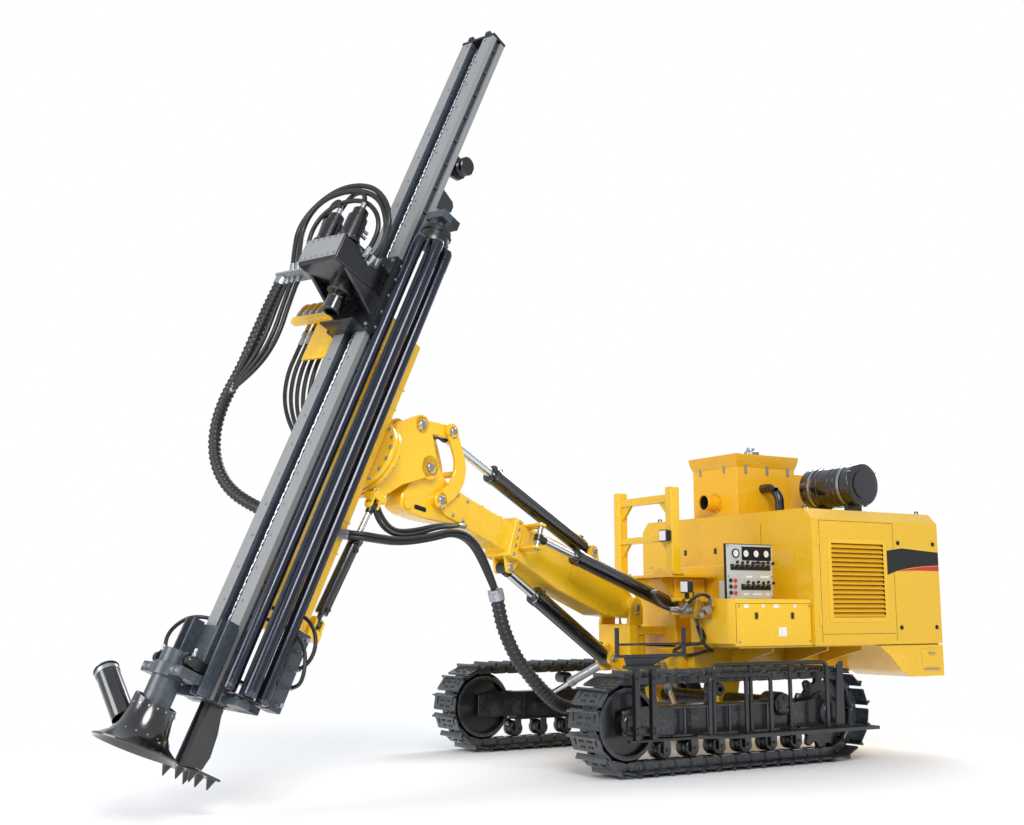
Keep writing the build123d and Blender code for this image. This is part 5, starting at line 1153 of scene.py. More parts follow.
# %% Step of expanded metal
step = Kit("step_deck", MACHINE, "chassis")
steel = step["black"]
for x in (300, -100, -500):
    box(steel, (x, x + 60), (999, 1123), (240, 256), 3)
edge = [(440, 1121.5), (440, 1145.5), (140, 1271.5), (-1160, 1271.5), (-1160, 1121.5)]
for first, second in zip(edge, edge[1:] + edge[:1]):
    way = Vector(second) - Vector(first)
    normal = Vector((way.y, -way.x)).normalized() * -8
    corners = [Vector(first), Vector(second), Vector(second) + normal, Vector(first) + normal]
    plate(steel, [tuple(corner) for corner in corners], (232, 256), "level", 2)
for number in range(58):
    x = -1155 + 27 * number
    for lean in (1, -1):
        start, end = Vector((x, 1126)), Vector((x + 75 * lean, 1267))
        limit = 430 if lean < 0 else 130
        if min(start.x, end.x) < -1158 or max(start.x, end.x) > limit:
            continue
        normal = Vector((end - start)).orthogonal().normalized() * 2.2
        plate(steel, [tuple(start - normal), tuple(end - normal), tuple(end + normal),
            tuple(start + normal)], (246, 254), "level", 0)
box(steel, (-1155, 135), (1194, 1200), (234, 246), 0)
step.done("step_deck")


# %% Railings
rails = Kit("step_rails", MACHINE, "chassis")
steel = rails["black"]
rail(steel, [(-780, 1139.5, 256), (-780, 1139.5, 715), (280, 1139.5, 715), (280, 1139.5, 256)])
rail(steel, [(-205, 1171.5, 256), (-205, 1171.5, 640), (345, 1171.5, 640), (345, 1171.5, 256)])
for x, y, top in ((-420, 1139.5, 712), (-50, 1139.5, 712), (20, 1171.5, 637)):
    bar(steel, (x, y, 256), (x, y, top), 15)
for x, y in ((-780, 1139.5), (-420, 1139.5), (-50, 1139.5), (280, 1139.5), (-205, 1171.5), (20, 1171.5),
    (345, 1171.5)):
    box(steel, (x - 26, x + 26), (y - 16, y + 16), (254, 262), 2)
plate(steel, [(-950, 256), (-860, 256), (-890, 690), (-915, 715), (-950, 715)], (1124.5, 1139.5), "side", 2)
rails.done("step_rails")

# %% [markdown]
# ## Post, boom and links
# The post turns in the column's two lugs. The boom hangs on it by one large pin, and its head carries two
# pins: one for the bracket of the mast and one for the bowed link through which the tipping cylinder
# pushes. Every pin ends in a head held by a small three-cornered keeper with two bolts.

# %% Shapes for pins, links and cylinders
def link(mesh, first, last, radius, depth, lay="side", soft=2.5):
    """A flat bar with round ends about two pins."""
    first, last = Vector(first), Vector(last)
    lean = math.atan2(last.y - first.y, last.x - first.x)
    arcs = ((last, lean - math.pi / 2), (first, lean + math.pi / 2))
    outline = [(spot.x + radius * math.cos(begin + math.pi * step / 12),
        spot.y + radius * math.sin(begin + math.pi * step / 12))
               for spot, begin in arcs for step in range(13)]
    plate(mesh, outline, depth, lay, soft)


def pin_head(kit, x, z, y, radius, turn=0.0):
    """Both ends of a cross pin, each with a three-cornered keeper and its bolts."""
    for side in (1, -1):
        near, far = side * y, side * (y + 9)
        turned(kit["steel"], [(0.1, 13), (radius - 7, 13), (radius - 2, 9), (radius, 0), (0.1, 0)],
            (x, near, z), (0, side, 0), 32)
        corners = [(x + reach * math.cos(turn + a), z + reach * math.sin(turn + a))
                   for reach, a in ((radius * 0.9, 2.3), (radius * 1.9, 0.42), (radius * 1.9, -0.42),
                       (radius * 0.9, -2.3))]
        plate(kit["yellow"], corners, sorted((near, near + side * 7)), "side", 1.5, 5)
        for a in (0.3, -0.3):
            at = (x + radius * 1.55 * math.cos(turn + a), near + side * 7,
                z + radius * 1.55 * math.sin(turn + a))
            bolt(kit["steel"], at, (0, side, 0), 6.5)


def barrel(kit, base, end, length, radius, eye, half, across, rod):
    """A cylinder's barrel: base eye, polished tube, gland, ports and the pipe along it."""
    base, end, across = Vector(base), Vector(end), Vector(across).normalized()
    way = (end - base).normalized()
    out = way.cross(across)
    top = base + way * length
    paint = kit["gloss"]
    bar(paint, base - across * half, base + across * half, eye, sides=32, soft=4)
    bar(paint, base + way * eye * 0.5, base + way * (eye + 40), min(half - 4, radius), sides=32)
    bar(paint, base + way * (eye + 25), top - way * 52, radius, sides=48, soft=7)
    turned(paint, [(rod + 1, 52), (radius - 4, 52), (radius + 5, 46), (radius + 5, 4), (radius + 1, 0),
        (rod + 1, 0), (rod + 1, 52)], top - way * 52, way, 48)
    turned(kit["steel"], [(rod + 1, 3), (rod + 9, 3), (rod + 12, 0), (rod + 1, 0), (rod + 1, 3)],
        top - way * 3, way, 36)
    for reach in (eye + 60, length - 90):
        at = base + way * reach + out * (radius - 4)
        bar(kit["black"], at, at + out * 20, 15, sides=16, soft=3)
    for step in range(6):
        turn = Matrix.Rotation(math.tau * step / 6, 3, way) @ out
        bolt(kit["steel"], top - way * 26 + turn * (radius + 3), turn, 5, False)


def rod(kit, end, start, radius, eye, half, across):
    """A cylinder's polished rod with its eye."""
    end, start, across = Vector(end), Vector(start), Vector(across).normalized()
    way = (end - start).normalized()
    bar(kit["chrome"], start, end - way * eye * 0.6, radius, sides=40, soft=4)
    bar(kit["black"], end - way * (eye + 26), end - way * eye * 0.5, radius + 6, sides=32, soft=4)
    bar(kit["black"], end - across * half, end + across * half, eye, sides=32, soft=4)


# %% Swing post
post = Kit("swing_post", POST, "post")
paint = post["yellow"]
bar(paint, (0, 0, 618.5), (0, 0, 896.5), 95, sides=48, soft=6)
bar(post["steel"], (0, 0, 536), (0, 0, 979), 44, sides=32, soft=4)
turned(post["steel"], [(0.1, 16), (46, 16), (54, 10), (54, 0), (0.1, 0)], (0, 0, 962), (0, 0, 1), 32)
box(paint, (0, 140), (-90, 90), (618.5, 896.5), 8)
box(paint, (130, 250), (-143, 143), (638.5, 982), 14, 3)
for side in (1, -1):
    depth = sorted((side * 115, side * 143))
    plate(paint, [(65, 975), (62, 1100), (80, 1153), (113, 1176), (140, 1180), (167, 1176), (200, 1153),
        (219, 1100), (250, 975)], depth, "side", 4)
    plate(paint, [(249, 841), (360, 781), (392, 762), (402, 731), (392, 700), (360, 681), (249, 638.5)],
        sorted((side * 41.5, side * 68)), "side", 3)
    plate(paint, [(8, 896), (120, 896), (64, 980), (64, 1040)], sorted((side * 70, side * 84)), "side", 2)
pin_head(post, 140, 1100, 143, 30, math.radians(-90))
pin_head(post, 350, 731, 68, 27, math.radians(180))
post.done("swing_post")

# %% Boom
boom = Kit("boom", BOOM, "boom")
paint = boom["yellow"]
main = [(0, 80), (250, 170), (1000, 157), (1450, 122), (1450, -112), (900, -170), (330, -165), (0, -80)]
plate(paint, main, (-95, 95), "side", 5, 12)
for side in (1, -1):
    for edge, width in (([(60, 96), (250, 166), (1000, 153), (1400, 122)], 26),
        ([(60, -86), (330, -161), (900, -166), (1400, -117)], -26)):
        outline = edge + [(x, z - width) for x, z in reversed(edge)]
        plate(paint, outline, sorted((side * 94.5, side * 100)), "side", 2)
    plate(paint, [(520, -60), (820, -70), (820, 60), (520, 70)], sorted((side * 94.5, side * 98)), "side",
        1, 30)
bar(paint, (0, -114.5, 0), (0, 114.5, 0), 78, sides=48, soft=5)
box(paint, (1400, 1490), (-115, 115), (-130, 142), 8, 3)
for side in (1, -1):
    for z in (-104, -46, 12, 70, 118):
        bolt(boom["steel"], (1445, side * 115, z), (0, side, 0), 9)
for y in (-80, -27, 27, 80):
    bolt(boom["steel"], (1445, y, 142), (0, 0, 1), 9)
box(paint, (1440, 2010), (-82, 82), (-100, 100), 10, 3)
for x in (1600, 1800):
    box(paint, (x, x + 10), (-86, 86), (-104, 104), 2)
head = [(1960, 104), (2160, 118), (2290, 190), (2383, 206), (2440, 150), (2440, 60), (2520, -110),
    (2500, -190), (2420, -200), (2250, -175), (1960, -104)]
plate(paint, head, (-74, 74), "side", 7, 22)
for side in (1, -1):
    plate(paint, [(1925, 92), (2120, 98), (2210, 60), (2210, -70), (2120, -98), (1925, -92)],
        sorted((side * 73, side * 88)), "side", 3, 16)
    for x, z in ((1960, 66), (1960, -66), (2060, 70), (2060, -70)):
        bolt(boom["steel"], (x, side * 88, z), (0, side, 0), 9)
    # Painted shade: a thin dark slot shape on each head plate stands for the shade in a slot.
    link(boom["dark"], (2300, -128), (2380, -140), 15, sorted((side * 73.4, side * 74.8)), "side", 0)
bar(paint, (2383, -95.5, 126), (2383, 95.5, 126), 68, sides=48, soft=4)
bar(paint, (2219, -93.5, -33), (2219, 93.5, -33), 56, sides=40, soft=4)
bar(boom["steel"], (2219, -118, -33), (2219, 118, -33), 29, sides=32)
bar(paint, (2460, -90, -150), (2460, 90, -150), 34, sides=32, soft=4)
for side in (1, -1):
    plate(paint, [(430, 140), (604, 140), (588, 250), (575, 285), (539, 302), (503, 288), (490, 262)],
        sorted((side * 41.5, side * 68)), "side", 3)
    plate(paint, [(1300, -100), (1480, -100), (1428, -188), (1414, -214), (1390, -222), (1366, -214),
        (1352, -188)], sorted((side * 41.5, side * 62)), "side", 3)
pin_head(boom, 2219, -33, 118, 30, math.radians(-100))
pin_head(boom, 539, 254, 68, 26, math.radians(-90))
pin_head(boom, 1390, -184, 62, 24, math.radians(90))
for x in (300, 700, 1150):
    box(boom["black"], (x - 16, x + 16), (-40, 40), (150, 178 if x < 1000 else 168), 3)
boom.done("boom")

swing_lugs = Kit("swing_lug", BOOM, "boom")
box(swing_lugs["yellow"], (1330, 1398), (95, 125), (-36, 110), 5)
for z in (-51, 109):
    lug_end = [(1382 + 36 * math.cos(math.radians(a)),
        250 + 36 * math.sin(math.radians(a))) for a in range(-10, 200, 15)]
    plate(swing_lugs["yellow"], [(1330, 95), (1398, 95), (1398, 125)] + lug_end, (z, z + 16), "level", 2.5)
bar(swing_lugs["steel"], (1382, 250, -58), (1382, 250, 135), 19, sides=24)
swing_lugs.done("swing_lug")

# %% Cylinders of the boom
lift_base = BOOM.inverted() @ (POST @ Vector((350, 0, 731)))
lift_end = Vector((1390, 0, -184))
pitch_base, pitch_end = Vector((539, 0, 254)), Vector((2264, 0, 432))
swing_base = Vector((-20, 360, 1110))
swing_end = MACHINE.inverted() @ (BOOM @ Vector((1382, 250, 27)))
ACROSS = (0, 1, 0)
for name, base, end, length, radius, eye, half, start, tip_eye, tip_half in (
        ("lift", lift_base, lift_end, 960, 61, 46, 41, 330, 36, 41),
            ("pitch", pitch_base, pitch_end, 1190, 60, 44, 41, 420, 40, 51)):
    way = (end - base).normalized()
    outer = Kit(f"{name}_barrel", BOOM, f"{name}_barrel")
    barrel(outer, base, end, length, radius, eye, half, ACROSS, 33)
    outer.done(f"{name}_barrel")
    inner = Kit(f"{name}_rod", BOOM, f"{name}_rod")
    rod(inner, end, base + way * start, 33, tip_eye, tip_half, ACROSS)
    inner.done(f"{name}_rod")

way = (swing_end - swing_base).normalized()
level = Vector((way.x, way.y, 0)).normalized()
cross = level.cross(UP) * -1
fork = Kit("swing_barrel", MACHINE, "swing_barrel")
tip = swing_base + way * 1150
bar(fork["gloss"], swing_base + way * 104, tip - way * 52, 55, sides=44, soft=7)
turned(fork["gloss"], [(26, 52), (51, 52), (60, 46), (60, 4), (56, 0), (26, 0), (26, 52)], tip - way * 52,
    way, 44)
turned(fork["steel"], [(26, 3), (33, 3), (36, 0), (26, 0), (26, 3)], tip - way * 3, way, 32)
for sign in (1, -1):
    cheek = swing_base + cross * (47 * sign)
    bar(fork["black"], cheek - cross * 9, cheek + cross * 9, 28, sides=28)
    bar(fork["black"], cheek, swing_base + way * 112 + cross * (38 * sign), 12, sides=16)
fork.done("swing_barrel")
inner = Kit("swing_rod", MACHINE, "swing_rod")
rod(inner, swing_end, swing_base + way * 520, 25, 34, 20, (BOOM.to_3x3() @ UP))
inner.done("swing_rod")
joint = Kit("swing_cross", MACHINE, "swing_cross")
bar(joint["steel"], swing_base - UP * 58, swing_base + UP * 36, 22, sides=24)
bar(joint["black"], swing_base - UP * 36, swing_base + UP * 36, 34, sides=28, soft=3)
bar(joint["steel"], swing_base - cross * 56, swing_base + cross * 56, 14, sides=20)
joint.done("swing_cross")

# %% Bent link and top link
bent = Kit("bent_link", BOOM, "bent_link")
bow = [(2249, -73), (2263, -17), (2179, 97), (2159, 177), (2179, 267), (2310, 412), (2274, 480),
    (2219, 454), (2069, 267), (2054, 157), (2089, 47), (2174, -53)]
bow_outline = []
count = len(bow)
for index in range(count):
    before, here, after = (Vector(bow[(index + step) % count]) for step in (-1, 0, 1))
    near, far = here.lerp(before, 0.3), here.lerp(after, 0.3)
    bow_outline += [tuple(near * (1 - s) ** 2 + here * 2 * s * (1 - s) + far * s * s) for s in (0, 0.33,
        0.67, 1)]
for side in (1, -1):
    depth = sorted((side * 94, side * 118))
    plate(bent["yellow"], bow_outline, depth, "side", 3)
    tube(bent["yellow"], (2219, depth[0], -33), (2219, depth[1], -33), 56, 31, 36, 3)
    bar(bent["yellow"], (2264, depth[0], 432), (2264, depth[1], 432), 50, sides=36, soft=3)
bar(bent["yellow"], (2089, -95, 207), (2089, 95, 207), 22, sides=24)
pin_head(bent, 2264, 432, 118, 26, math.radians(-120))
bent.done("bent_link")

upper_pin = BRACKET.inverted() @ (BOOM @ Vector((2264, 0, 432)))
short = Kit("top_link", BRACKET, "top_link")
for side in (1, -1):
    link(short["yellow"], (upper_pin.x, upper_pin.z), (177, 211), 42, sorted((side * 52, side * 88)),
        "side", 4)
bar(short["yellow"], (177, -95.5, 211), (177, 95.5, 211), 42, sides=36, soft=3)
short.done("top_link")

# %% Bracket of the mast
bracket = Kit("mast_bracket", BRACKET, "bracket")
paint = bracket["yellow"]
outline = [(-72, -20), (-72, 30), (115, 258), (175, 272), (235, 245), (365, 110), (365, -390), (300, -390),
    (170, -220), (0, -75)]
for side in (1, -1):
    depth = sorted((side * 96, side * 120))
    plate(paint, outline, depth, "side", 4, 10)
    bar(paint, (0, depth[0], 0), (0, depth[1], 0), 78, sides=44, soft=4)
    bar(paint, (177, depth[0], 211), (177, depth[1], 211), 62, sides=40, soft=4)
box(paint, (330, 366), (-97, 97), (-390, 110), 4)
turned(paint, [(0.1, 34.7), (228, 34.7), (240, 26), (240, 6), (232, 0), (0.1, 0)], (365, 0, -140),
    (1, 0, 0), 64)
for number in range(18):
    a = math.tau * number / 18
    bolt(bracket["steel"], (366, 222 * math.cos(a), -140 + 222 * math.sin(a)), (-1, 0, 0), 10)
pin_head(bracket, 0, 0, 120, 30, math.radians(200))
pin_head(bracket, 177, 211, 120, 30, math.radians(-60))
bracket.done("mast_bracket")

side_eye = BRACKET.inverted() @ (MAST @ Vector((-515, 175, -637.5)))
side_lug = Kit("roll_lug", BRACKET, "bracket")
box(side_lug["yellow"], (300, side_eye.x + 36.5), (97, side_eye.y + 30), (side_eye.z + 38, -390), 4)
for x in (side_eye.x - 36.5, side_eye.x + 20.5):
    box(side_lug["yellow"], (x, x + 16), (side_eye.y - 30, side_eye.y + 30), (side_eye.z, side_eye.z + 39),
        2)
    bar(side_lug["yellow"], (x, side_eye.y, side_eye.z), (x + 16, side_eye.y, side_eye.z), 30, sides=28)
side_lug.done("roll_lug")

# %% [markdown]
# ## Mast
# The mast is a long slate-grey beam whose ground rails guide the sled of the rotary head. A yellow carriage
# lets the whole beam slide until its spiked foot stands on the rock.

# %% Carriage between the bracket and the mast
DRILL_V = 185
carriage = Kit("carrier", MAST, "carrier")
paint = carriage["yellow"]
box(paint, (-450, -320), (-125, 125), (-1530, 450), 8, 3)
turned(paint, [(0.1, 37), (232, 37), (240, 30), (240, 8), (230, 0), (0.1, 0)], (-486, 0, -317.5), (1, 0, 0),
    64)
for number in range(18):
    a = math.tau * (number + 0.5) / 18
    bolt(carriage["steel"], (-450, 222 * math.cos(a), -317.5 + 222 * math.sin(a)), (1, 0, 0), 10)
for low, high in ((-1400, -1180), (230, 450)):
    box(paint, (-321, -133), (-125, 125), (low, high), 6)
    box(paint, (-161, -121.5), (-184, 184), (low, high), 5)
    for side in (1, -1):
        box(carriage["black"], (-122, -68), sorted((side * 148.5, side * 184)), (low, high), 4)
        box(carriage["brass"], (-80.5, -68), sorted((side * 132, side * 149)), (low + 6, high - 6), 2)
        for s in (low + 40, low + 110, low + 180):
            bolt(carriage["steel"], (-95, side * 184, s), (0, side, 0), 9)
for s in (-1000, -800, -20, 120):
    box(paint, (-454, -316), (-129, 129), (s, s + 12), 2)
for v0 in (-551.5, -494.5):
    box(paint, (v0, v0 + 16), (73, 137), (-1460, -1400), 2)
    bar(paint, (v0, 105, -1400), (v0 + 16, 105, -1400), 32, sides=28)
box(paint, (-551, -449), (0, 150), (-1510, -1445), 5)
box(paint, (-450, -390), (-215, -124), (150, 440), 6)
box(paint, (-450, -45), (-215, -200), (150, 440), 3)
box(paint, (-60, -45), (-450, -201), (150, 441), 3)
box(paint, (-60, -10), (-700, -300), (440, 485), 5, 3)
carriage.done("carrier")

side_base, side_end = Vector((-515, 105, -1400)), Vector((-515, 175, -637.5))
side_way = (side_end - side_base).normalized()
outer = Kit("roll_barrel", MAST, "roll_barrel")
barrel(outer, side_base, side_end, 560, 40, 30, 20, (1, 0, 0), 18)
outer.done("roll_barrel")
inner = Kit("roll_rod", MAST, "roll_rod")
rod(inner, side_end, side_base + side_way * 180, 18, 28, 20, (1, 0, 0))
inner.done("roll_rod")

# %% Beam, rails and chain
beam = Kit("mast_beam", MAST, "mast")
section = [(148, 0), (148, -40), (128, -40), (128, -81), (148, -81), (148, -121), (-148, -121), (-148, -81),
    (-128, -81), (-128, -40),
           (-148, -40), (-148, 0), (-52, 0), (-52, -60), (52, -60), (52, 0)]
plate(beam["slate"], [(v, u) for u, v in section], (-2050, 2700), "level", 2)
for side in (1, -1):
    box(beam["rail"], (-36, 0.8), sorted((side * 54, side * 148.4)), (-2048, 2698), 2)
    box(beam["rail"], (-121.4, -80.6), sorted((side * 130, side * 148.4)), (-2048, 2698), 2)
    for number in range(24):
        s = -1950 + 198 * number
        box(beam["slate"], (-82, -39), sorted((side * 127, side * 141)), (s, s + 12), 1)
        bolt(beam["steel"], (0.5, side * 84, s + 60), (1, 0, 0), 7, False)
for s0, s1 in ((1135, 1195), (-2050, -2010)):
    box(beam["slate"], (-196, -120), (-60, 350), (s0, s1), 5)
    box(beam["slate"], (-196, -40), (198, 350), (s0, s1), 5)
    turned(beam["steel"], [(29, 8), (44, 8), (48, 4), (48, 0), (29, 0), (29, 8)], (-100, 290, s1),
        (0, 0, 1), 28)
beam.done("mast_beam")


def chain_link(mesh):
    """Two pairs of side plates and two rollers of the feed chain."""
    for y, reach in ((-24, 0), (18, 0), (-17, 38), (11, 38)):
        box(mesh, (-11, 11), (y, y + 6), (reach - 19, reach + 57 - 12), 4, 1)
    for z in (0, 38):
        bar(mesh, (0, -28, z), (0, 28, z), 5, sides=8, soft=0)
        bar(mesh, (0, -11, z), (0, 11, z), 9, sides=12, soft=0)


chain = Kit("feed_chain", MAST, "mast")
stamp(chain["steel"], chain_link, [Matrix.Translation((-46, 0,
    -1990 + 76 * number)) for number in range(61)])
chain.done("feed_chain")

top = Kit("mast_top", MAST, "mast")
box(top["black"], (-125, 6), (-151, 151), (2700, 2720), 5)
for u in (-100, 60):
    box(top["black"], (-40, 10), (u, u + 40), (2719, 2750), 4)
for u in (-120, 0, 120):
    bolt(top["steel"], (-90, u, 2720), (0, 0, 1), 9)
top.done("mast_top")

back = Kit("back_bracket", MAST, "mast")
plate(back["black"], [(-121, 1620), (-121, 1800), (-262, 1800), (-292, 1770), (-292, 1700), (-262, 1660)],
    (40, 70), "side", 3)
turned(back["black"], [(0.1, 71), (56, 71), (62, 66), (62, 52), (48, 44), (48, 30), (62, 20), (62, 4),
    (56, 0), (0.1, 0)], (-231, 69, 1740), (0, 1, 0), 40)
plate(back["black"], [(-121, 1330), (-121, 1500), (-260, 1470), (-281, 1440), (-281, 1400), (-260, 1375)],
    (60, 100), "side", 3)
back.done("back_bracket")

# %% Foot of the mast: clamp, spiked plate and valve box
clamp = Kit("foot_clamp", MAST, "mast")
paint = clamp["slate"]
box(paint, (1, 30), (-168, 168), (-2060, -1660), 4)
for side in (1, -1):
    box(paint, (29, 105), sorted((side * 118, side * 132)), (-2060, -1650), 3)
    box(paint, (29, 105), sorted((side * 184, side * 198)), (-2060, -1650), 3)
    box(paint, (29, 50), sorted((side * 130, side * 186)), (-2060, -1650), 2)
    for s in (-2020, -1900, -1780):
        bolt(clamp["steel"], (50, side * 158, s), (1, 0, 0), 9)
    box(clamp["black"], (60, 180), sorted((side * 117, side * 156)), (-1955, -1895), 6)
    turned(clamp["black"], [(0.1, 54), (26, 54), (32, 48), (34, 6), (44, 4), (44, 0), (0.1, 0)],
        (DRILL_V, side * 118, -1925), (0, side, 0), 28)
    fitting(clamp["steel"], (DRILL_V, side * 150, -1895), (0, 0, 1), 13, 44)
box(paint, (29, 122), (-118, 118), (-1970, -1880), 6)
box(paint, (100, 126), (-180, 180), (-2020, -1965), 4)
box(paint, (126, 245), (-180, -81), (-2020, -1965), 4)
box(paint, (126, 245), (81, 180), (-2020, -1965), 4)
box(paint, (120, 205), (-118, -81), (-1970, -1880), 4)
box(paint, (120, 205), (81, 118), (-1970, -1880), 4)
tube(paint, (DRILL_V, 0, -2260), (DRILL_V, 0, -1880), 80, 62, 44, 3)
tube(paint, (DRILL_V, 0, -2030), (DRILL_V, 0, -1960), 96, 79, 44, 3)
for u in (-150, -105, 105, 150):
    bolt(clamp["steel"], (245, u, -1992), (1, 0, 0), 10)
clamp.done("foot_clamp")

foot = Kit("foot_plate", MAST, "mast")
steel = foot["black"]
for side in (1, -1):
    plate(steel, [(-190, -2050), (-100, -2050), (-95, -2392), (-215, -2392), (-238, -2300), (-225, -2180)],
        sorted((side * 36, side * 48)), "side", 3)
box(steel, (-128, -112), (-37, 37), (-2392, -2050), 2)
box(steel, (-206, -190), (-37, 37), (-2380, -2050), 2)
plate(steel, [(-280, -150), (-280, 150), (-110, 170), (-75, 120), (-75, -120), (-110, -170)],
    (-2406, -2391), "level", 3)
for v, u in ((-250, -110), (-250, 0), (-250, 110), (-115, -120), (-115, 0), (-115, 120)):
    bar(steel, (v, u, -2405), (v, u, -2464), 27, 3, 12, 2)
for u in (-90, 90):
    bolt(foot["steel"], (-150, u, -2391), (0, 0, 1), 10)
foot.done("foot_plate")

valve_box = Kit("foot_box", MAST, "mast")
box(valve_box["slate"], (-345, -250), (215, 330), (-1990, -1540), 8, 3)
box(valve_box["black"], (-300, -121), (60, 120), (-1900, -1880), 3)
box(valve_box["black"], (-300, -260), (119, 216), (-1900, -1880), 3)
for s in (-1950, -1850, -1750, -1650, -1580):
    fitting(valve_box["steel"], (-298, 329, s), (0, 1, 0), 15, 46)
    bolt(valve_box["steel"], (-251, 245, s), (1, 0, 0), 7)
valve_box.done("foot_box")

# %% Dust hood
hood_kit = Kit("dust_hood", MAST, "dust_hood")
skirt = hood_kit["gloss"]
rim = 235
profile = [(118, -2120), (121, -2230), (137, -2310), (166, -2360), (210, -2392), (rim, -2404), (rim, -2412),
    (rim - 6, -2416), (205, -2400), (162, -2366), (133, -2314),
           (81, -2240), (81, -2232), (113, -2225), (113, -2120)]
turned(skirt, profile, (DRILL_V, 0, 0), (0, 0, 1), 72)
bmesh.ops.bisect_plane(skirt, geom=skirt.verts[:] + skirt.edges[:] + skirt.faces[:], dist=0.001,
    plane_co=(DRILL_V, 0, -2155),
                       plane_no=(0, math.sin(math.radians(14)), math.cos(math.radians(14))),
                           clear_outer=True)
bmesh.ops.bridge_loops(skirt, edges=[edge for edge in skirt.edges if edge.is_boundary])
for number in range(16):
    a = math.tau * number / 16
    out = Vector((math.cos(a), math.sin(a), 0))
    bolt(hood_kit["steel"], Vector((DRILL_V, 0, -2339)) + out * 150, (out + Vector((0, 0, 0.6))), 6, False)
    bolt(hood_kit["steel"], Vector((DRILL_V, 0, -2200)) + out * 119.5, out, 6, False)
start, end = Vector((DRILL_V + 30, -70, -2340)), Vector((300, -400, -2060))
flow = (end - start).normalized()
tube(skirt, start + flow * 90, end, 64, 59, 44, 2)
tube(hood_kit["steel"], end - flow * 40, end - flow * 16, 67, 64, 40, 1)
tube(skirt, end - flow * 8, end, 70, 60, 40, 2)
hood_kit.done("dust_hood")

# %% Sled and rotary head
sled = Kit("head_sled", MAST, "sled")
steel = sled["black"]
box(steel, (0.5, 36), (-190, 190), (270, 800), 5)
for side in (1, -1):
    box(steel, (-52, 1), sorted((side * 148.5, side * 188)), (270, 800), 4)
    box(sled["brass"], (-52, -40.5), sorted((side * 132, side * 149)), (276, 794), 1.5)
    for s in (310, 420, 540, 660, 760):
        bolt(sled["steel"], (-24, side * 188, s), (0, side, 0), 8)
    for s in (300, 770):
        bolt(sled["steel"], (36, side * 160, s), (1, 0, 0), 10)
box(steel, (35, 135), (-150, 150), (270, 284), 4)
sled.done("head_sled")

head_kit = Kit("rotary_head", MAST, "sled")
cast = head_kit["black"]
box(cast, (36, 430), (-180, 180), (500, 680), 16, 3)
box(head_kit["rail"], (429, 437), (-172, 172), (520, 676), 4)
for u in (-156, -104, -52, 0, 52, 104, 156):
    bolt(head_kit["steel"], (437, u, 662), (1, 0, 0), 7, False)
    bolt(head_kit["steel"], (437, u, 534), (1, 0, 0), 7, False)
box(head_kit["black"], (60, 418), (-168, 168), (676, 692), 5)
for v in (82, 165, 248, 331, 396):
    for u in (-150, 150):
        bolt(head_kit["steel"], (v, u, 692), (0, 0, 1), 8)
for u in (-80, 0, 80):
    bolt(head_kit["steel"], (396, u, 692), (0, 0, 1), 8)
for side in (1, -1):
    u = side * 112
    turned(head_kit["black"], [(0.1, 240), (40, 240), (48, 232), (48, 186), (60, 180), (62, 172), (62, 26),
        (74, 22), (74, 0), (0.1, 0)], (355, u, 680), (0, 0, 1), 36)
    for number in range(6):
        a = math.tau * number / 6 + 0.3
        bolt(head_kit["steel"], (355 + 67 * math.cos(a), u + 67 * math.sin(a), 702), (0, 0, 1), 5, False)
    box(head_kit["black"], (292, 330), (u - 26, u + 26), (770, 830), 5)
    for s in (782, 818):
        fitting(head_kit["steel"], (294, u, s), (-1, 0, 0), 13, 46)
    plate(cast, [(36, 360), (36, 501), (330, 501), (150, 420)], sorted((side * 150, side * 175)), "side", 4)
turned(cast, [(46.5, 71), (80, 71), (80, 8), (72, 0), (46.5, 0), (46.5, 71)], (DRILL_V, 0, 430), (0, 0, 1),
    44)
plate(head_kit["rail"], [(180, -620), (290, -620), (290, -179), (180, -179)], (600, 612), "level", 2, 14)
for u in (-580, -500, -420):
    bolt(head_kit["steel"], (210, u, 612), (0, 0, 1), 8)
head_kit.done("rotary_head")

chuck = Kit("spindle", MAST, "spindle")
turned(chuck["gloss"], [(38, 0), (56, 0), (60, 5), (60, 78), (54, 84), (54, 92), (60, 98), (48, 102),
    (46, 110), (46, 199), (0.1, 199), (0.1, 60), (38, 60), (38, 0)],
       (DRILL_V, 0, 300), (0, 0, 1), 44)
chuck.done("spindle")

# %% Rod magazine
store = Kit("magazine", MAST, "magazine")
turned(store["black"], [(0.1, 121), (84, 121), (98, 114), (100, 104), (100, 84), (92, 78), (92, 44),
    (100, 38), (100, 8), (94, 0), (0.1, 0)], (-100, 290, 949), (0, 0, 1), 44)
bar(store["slate"], (-100, 290, -2044), (-100, 290, 1189), 27.5, sides=28)
turned(store["black"], [(0.1, 9), (104, 9), (110, 6), (110, 0), (0.1, 0)], (-100, 290, -2004), (0, 0, 1),
    44)
rod_profile = [(0.1, 0), (30, 0), (38, 10), (38, 120), (36.5, 128), (36.5, 2800), (38, 2808), (38, 2925),
    (32, 2945), (0.1, 2945)]
for turn in (5, 70, 135):
    a = math.radians(turn)
    turned(store["rod"], rod_profile, (-100 + 105 * math.cos(a), 290 + 105 * math.sin(a), -1995), (0, 0, 1),
        36)
store.done("magazine")
